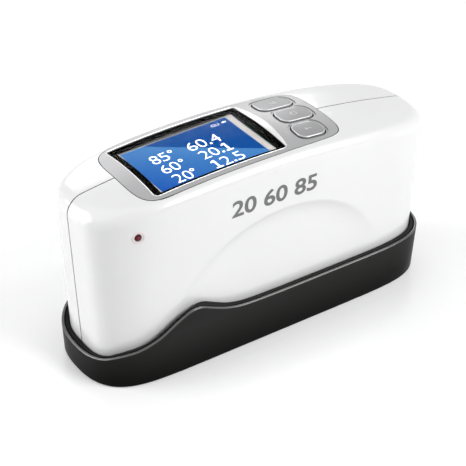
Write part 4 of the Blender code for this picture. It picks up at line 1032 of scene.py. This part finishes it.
def screen_finish():
    made = bpy.data.materials.new("blue_display")
    made.use_nodes = True
    tree = made.node_tree
    spot = node(tree, "SeparateXYZ", {0: place_of(tree)})
    lean = node(tree, "Math", {0: spot["X"], 1: REFLECTION_BORDER_LEAN, 2: spot["Y"]}, operation="MULTIPLY_ADD")[0]
    # The near part is a painted reflection, brightest at its straight border with the far part.
    reflected_part = mixed(tree, ramp(tree, lean, -0.050, -0.014), tone_node(tree, *PAINTED_REFLECTION_TONES, 40.0), PAINTED_REFLECTION_PEAK)
    screen = mixed(tree, ramp(tree, lean, -0.0137, -0.0132), reflected_part, tone_node(tree, *FAR, 40.0))
    feed(tree, tree.nodes["Principled BSDF"], {
        "Base Color": (0.003, 0.003, 0.004, 1.0), "Roughness": 0.35, "Specular IOR Level": 0.0,
        "Emission Color": screen, "Emission Strength": 0.98})
    return made


cell_outline = rectangle(LCD_LOW.x, LCD_HIGH.x, LCD_LOW.y, LCD_HIGH.y, 0.0008, 4, 6)
cell = flat_piece("display_cell", cell_outline, -0.00002, 0.0022, FRAME)
screen_outline = rectangle(*SCREEN, 0.0003, 2, 8)
screen = flat_piece("display_screen", screen_outline, 0.00004, 0.0003, screen_finish())
for item, name in ((cell, "zinc_steel"), (screen, "blue_display")):
    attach(item, "meter")
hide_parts("lcd_module")
print("display cell, mm:", [round(1000 * c, 1) for c in LCD_HIGH - LCD_LOW])

# %% [markdown]
# The readings are generic numbers, as on any such meter: three angles in degrees and a value for
# each. They are set with Blender's own letters, made a little thinner and laid on the screen as a
# mesh. Only the 1 is drawn here, because it has a flag and a foot.
# %% Helpers for numbers


def letters(text, height, width, weight):
    """Flat letters of a given height and width, their lower left corner at the origin."""
    curve = bpy.data.curves.new("letters", "FONT")
    curve.body, curve.size, curve.offset, curve.resolution_u = text, 1.0, weight, 6
    item = add("letters", curve)
    mesh = baked(item)
    bpy.data.objects.remove(item, do_unlink=True)
    xs, ys = ([v.co[axis] for v in mesh.vertices] for axis in (0, 1))
    sx, sy = width / (max(xs) - min(xs)), height / (max(ys) - min(ys))
    for v in mesh.vertices:
        v.co = ((v.co.x - min(xs)) * sx, (v.co.y - min(ys)) * sy, 0.0)
    return mesh


def polygons(name, *shapes):
    """A mesh of flat polygons, each with its own corners."""
    mesh = bpy.data.meshes.new(name)
    corners, faces = [], []
    for shape in shapes:
        faces.append(range(len(corners), len(corners) + len(shape)))
        corners += [(x, y, 0.0) for x, y in shape]
    mesh.from_pydata(corners, [], faces)
    return mesh


def block(x_low, y_low, x_high, y_high):
    return (x_low, y_low), (x_high, y_low), (x_high, y_high), (x_low, y_high)


def one(height, width):
    """The numeral 1 with a flag and a foot, as three polygons."""
    stem, foot = width * 0.28, height * 0.13
    left = (width - stem) / 2
    flag = (left, height), (0, height * 0.88), (0, height * 0.74), (left, height * 0.84)
    return polygons("one", block(left, foot, left + stem, height), block(0, 0, width, foot), flag)


def number(text, x, y, height, step):
    """A number as meshes, one figure at a time, each in a cell of its own."""
    made, start = [], x
    for sign in text:
        wide = step * (0.42 if sign == "." else 1.0)
        margin = wide * 0.06 if sign == "1" else 0.0
        if sign == "1":
            mesh = one(height, wide * 0.72)
        elif sign == ".":
            mesh = letters(sign, height * 0.19, height * 0.19, 0.0)
        else:
            mesh = letters(sign, height, wide * 0.84, STROKE)
        mesh.transform(Matrix.Translation((start + margin, y, 0.0)))
        made.append(mesh)
        start += wide
    return made


def degree(x, y):
    """A small ring, its middle at x and y."""
    outer, inner = ([(x + radius * cos(a), y + radius * sin(a)) for a in full_turn(24) + [0.0]]
                    for radius in DEGREE_RADII)
    return polygons("degree", *zip(outer, outer[1:], inner[1:], inner))


print("number helpers ready")

# %% Numbers on the screen
LINES, DIGIT_HEIGHT, STROKE, ANGLE_STEP = (0.0015, -0.0059, -0.0135), 0.0055, -0.012, 0.0039
UNIT_HEIGHT, UNIT_WIDTH, UNIT_PLACE, NUMBER_LIFT = 0.0016, 0.0033, (-0.0090, 0.0111, 0.0), 0.00007
DEGREE_RADII, DEGREE_X, DEGREE_DROP = (0.00088, 0.00050), -0.0310, 0.0008
READINGS = [("85", -0.0400, "60.4", -0.0244, 0.0042), ("60", -0.0400, "20.1", -0.0234, 0.0040),
            ("20", -0.0394, "12.5", -0.0232, 0.0040)]
parts = []
for y, (angle, angle_x, value, value_x, step) in zip(LINES, READINGS):
    parts += number(angle, angle_x, y, DIGIT_HEIGHT, ANGLE_STEP)
    parts += number(value, value_x, y, DIGIT_HEIGHT, step)
    parts.append(degree(DEGREE_X, y + DIGIT_HEIGHT - DEGREE_DROP))
unit = letters("GU", UNIT_HEIGHT, UNIT_WIDTH, STROKE)
unit.transform(Matrix.Translation(UNIT_PLACE))
battery = polygons("battery", block(-0.0042, 0.0116, -0.0026, 0.0123),
                   block(-0.0026, 0.0118, -0.0023, 0.0121))
joined = bmesh.new()
for mesh in parts + [unit, battery]:
    joined.from_mesh(mesh)
for v in joined.verts:
    v.co.z = screen_height(v.co.x) + NUMBER_LIFT
LIT = finish("lit_white", (0.92, 0.96, 1.0), (1.0, 1.0, 1.0), (0.2, 0.3), tone=300.0)
feed(LIT.node_tree, LIT.node_tree.nodes["Principled BSDF"], {
    "Emission Color": LIT.node_tree.nodes["Group"].outputs["Color"], "Emission Strength": 0.80})
digits = add("screen_numbers", as_mesh("screen_numbers", joined), LIT)
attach(digits, "meter")
print("numbers on the screen:", [(row[0], row[2]) for row in READINGS])

# %% [markdown]
# The window is a crowned sheet of clear plastic. The border is printed on its back, so here it is a
# thin black plate with a hole just below the glass, and a shallow gap separates it from the screen.
# Its outer side turns up as the black seal between glass and panel, which hides the cut wall.
# %% Glass and border
APERTURE, SEAL = (-0.0478, 0.0025, -0.0152, 0.0152), 0.00015
BELOW = -WINDOW_SINK - WINDOW_THICK
BORDER_TOP, BORDER_FOOT = BELOW - 0.00008, BELOW - 0.00018
opening, window_edge = (window_outline(grow, 20) for grow in (0.0, -SEAL))
scales = (0.2, 0.4, 0.6, 0.8, 1.0)
sheet = [crowned([p * scale for p in window_edge], WINDOW_PLACE, lift)
         for lift, row in ((BELOW, scales), (-WINDOW_SINK, scales[::-1])) for scale in row]
window = piece("window_sheet", sheet, GLASS)
round_edges(window, 0.0001)
outer_edge, seal_edge = moved(opening, WINDOW_PLACE), moved(window_edge, WINDOW_PLACE)
inner_edge = rectangle(*APERTURE, 0.0004, 6, 20)
border = crowned_band("window_border", (
    (outer_edge, BORDER_FOOT), (outer_edge, -WINDOW_SINK), (seal_edge, -WINDOW_SINK),
    (seal_edge, BORDER_TOP), (inner_edge, BORDER_TOP), (inner_edge, BORDER_FOOT)), INK)
for item in (window, border):
    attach(item, "meter")
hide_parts("display_window")
print("window, mm:", round(1000 * WINDOW_LENGTH, 1), "by", round(1000 * WINDOW_WIDTH, 1))

# %% [markdown]
# The status lamp is a small red dome that stands just proud of the wall. It is a turned shape:
# rings round its own axis, which points straight out of the wall there. Its plastic is dark red, and
# the light of the lit chip in the middle is painted into that colour as a brighter spot: a painted
# glow. A pale ring is pressed in round it: a half-round bead, turned round the same axis, whose pink
# tint is the lamp's red glow painted on it.
# %% Status lamp and its ring
DOME, PAINTED_GLOW_EDGE, PAINTED_GLOW_CORE = 0.0007, 0.0009, 0.0002
RIM_RADIUS, RIM_PROUD, RIM_DEEP, RIM_FIT = 0.0004, 0.00012, 0.0004, 0.00004
LAMP_SEAT = Vector((LAMP_MIDDLE.x, -side_y(LAMP_MIDDLE.x, case_section(LAMP_MIDDLE.z)),
                    LAMP_MIDDLE.z))
LAMP_TURN = lamp_direction().to_track_quat("Z", "Y").to_matrix()


def lamp_rings(profile):
    """Rings round the axis of the lamp, through radii and heights above the wall."""
    return [[LAMP_SEAT + LAMP_TURN @ Vector((radius * cos(a), radius * sin(a), height))
             for a in full_turn(40)] for radius, height in profile]


RED = finish("red_lens", (0.030, 0.001, 0.002), (0.055, 0.002, 0.004), (0.10, 0.16),
             Specular_IOR_Level=0.3)
# Painted glow: the lens colour brightens to a red spot in its middle, for the lit chip.
tree = RED.node_tree
away = node(tree, "VectorMath", {0: place_of(tree), 1: LAMP_SEAT}, operation="DISTANCE")["Value"]
blend_in(RED, ramp(tree, away, PAINTED_GLOW_EDGE, PAINTED_GLOW_CORE), (0.26, 0.012, 0.020, 1.0))
dome = [(LENS_RADIUS, -0.004), (LENS_RADIUS, -DOME)]
dome += [(LENS_RADIUS * cos(a), -DOME + DOME * sin(a)) for a in quarter_turns(8)[1:-1]]
lens = piece("lamp_lens", lamp_rings(dome), RED)
smooth(lens, 50.0)
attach(lens, "meter")
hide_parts("status_lamp")
bead = [(LENS_RADIUS + RIM_RADIUS * (1 - cos(a)) + RIM_FIT,
         RIM_PROUD * sin(a) - (RIM_DEEP if step in (0, 8) else 0.0))
        for step, a in enumerate(pi * step / 8 for step in range(9))]
rim = piece("lamp_ring", lamp_rings(bead), LAMP_RING_PINK_GLOW, band=True)
rim.data.shade_smooth()
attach(rim, "meter")
print("ring across, mm:", round(1000 * 2 * (LENS_RADIUS + 2 * RIM_RADIUS), 1))

# %% [markdown]
# The front wall carries a grey print. Here it is the three angles that such a meter measures at,
# plain numbers whose points are each moved out to the curve of the housing.
# %% Print on the front wall
PRINT_LEFT, PRINT_FOOT, PRINT_WIDTH, PRINT_HEIGHT = -0.0230, 0.0600, 0.0380, 0.0072
PRINT_WEIGHT, PRINT_PROUD = 0.022, 0.00004


def wall_y(x, z):
    """Distance of the wall from the middle plane."""
    low, high = (side_y(x, case_section(end)) for end in (SHELL_Z, SHOULDER_Z))
    return low + (high - low) * (z - SHELL_Z) / (SHOULDER_Z - SHELL_Z)


made = bmesh.new()
made.from_mesh(letters("20 60 85", PRINT_HEIGHT, PRINT_WIDTH, PRINT_WEIGHT))
bmesh.ops.triangulate(made, faces=made.faces)
for v in made.verts:
    x, z = PRINT_LEFT + v.co.x, PRINT_FOOT + v.co.y
    v.co = (x, -wall_y(x, z) - PRINT_PROUD, z)
wall_print = add("wall_numbers", as_mesh("wall_numbers", made), PRINT)
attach(wall_print, "meter")
print("print, mm:", round(1000 * PRINT_WIDTH, 1), "by", round(1000 * PRINT_HEIGHT, 1))

# %% [markdown]
# Four screws close the case from the rear. A pan head is a turned profile, rounded over the edge,
# and the cross recess is cut into it with two tapered bars.
# %% Case screws
HEAD_HEIGHT, HEAD_ROUND, TIP_LENGTH = 0.0016, 0.0007, 0.0012
TIP_RADIUS, SHANK_RADIUS = 0.0002, 0.0010
CROSS_DEPTH, CROSS_LONG, CROSS_WIDE, CROSS_TAPER = 0.0009, 0.0012, 0.00028, 0.55


def plain_screw(name, axis, foot, top):
    """A screw along Y whose head looks to the rear."""
    x, z = axis
    profile = [(TIP_RADIUS, foot), (SHANK_RADIUS, foot + TIP_LENGTH),
               (SHANK_RADIUS, top - HEAD_HEIGHT), (HEAD_RADIUS, top - HEAD_HEIGHT)]
    profile += [(HEAD_RADIUS - across, top - down) for across, down in rounding(HEAD_ROUND, 6)[1:]]
    rings = [[Vector((x + radius * cos(a), y, z + radius * sin(a))) for a in full_turn(48)]
             for radius, y in profile]
    return piece(name, rings, INNER["zinc_steel"])


def cross_bar(axis, top, wide, high):
    rings = []
    for depth, share in ((CROSS_DEPTH, CROSS_TAPER), (-0.001, 1.0)):
        across, along = (share * wide, high) if wide > high else (wide, share * high)
        rings.append([Vector((axis[0] + sx * across, top - depth, axis[1] + sz * along))
                      for sx, sz in SQUARE])
    return cutter("cross", rings)


for count, ((low, high), axis) in enumerate(zip(SCREWS, AXES), 1):
    screw = plain_screw("screw_%d" % count, axis, low.y, high.y)
    cut(screw, [cross_bar(axis, high.y, *size) for size in (
        (CROSS_LONG, CROSS_WIDE), (CROSS_WIDE, CROSS_LONG))])
    smooth(screw, 35.0)
    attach(screw, "meter")
    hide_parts("case_screw_%d" % count)
print("screws:", len(SCREWS))
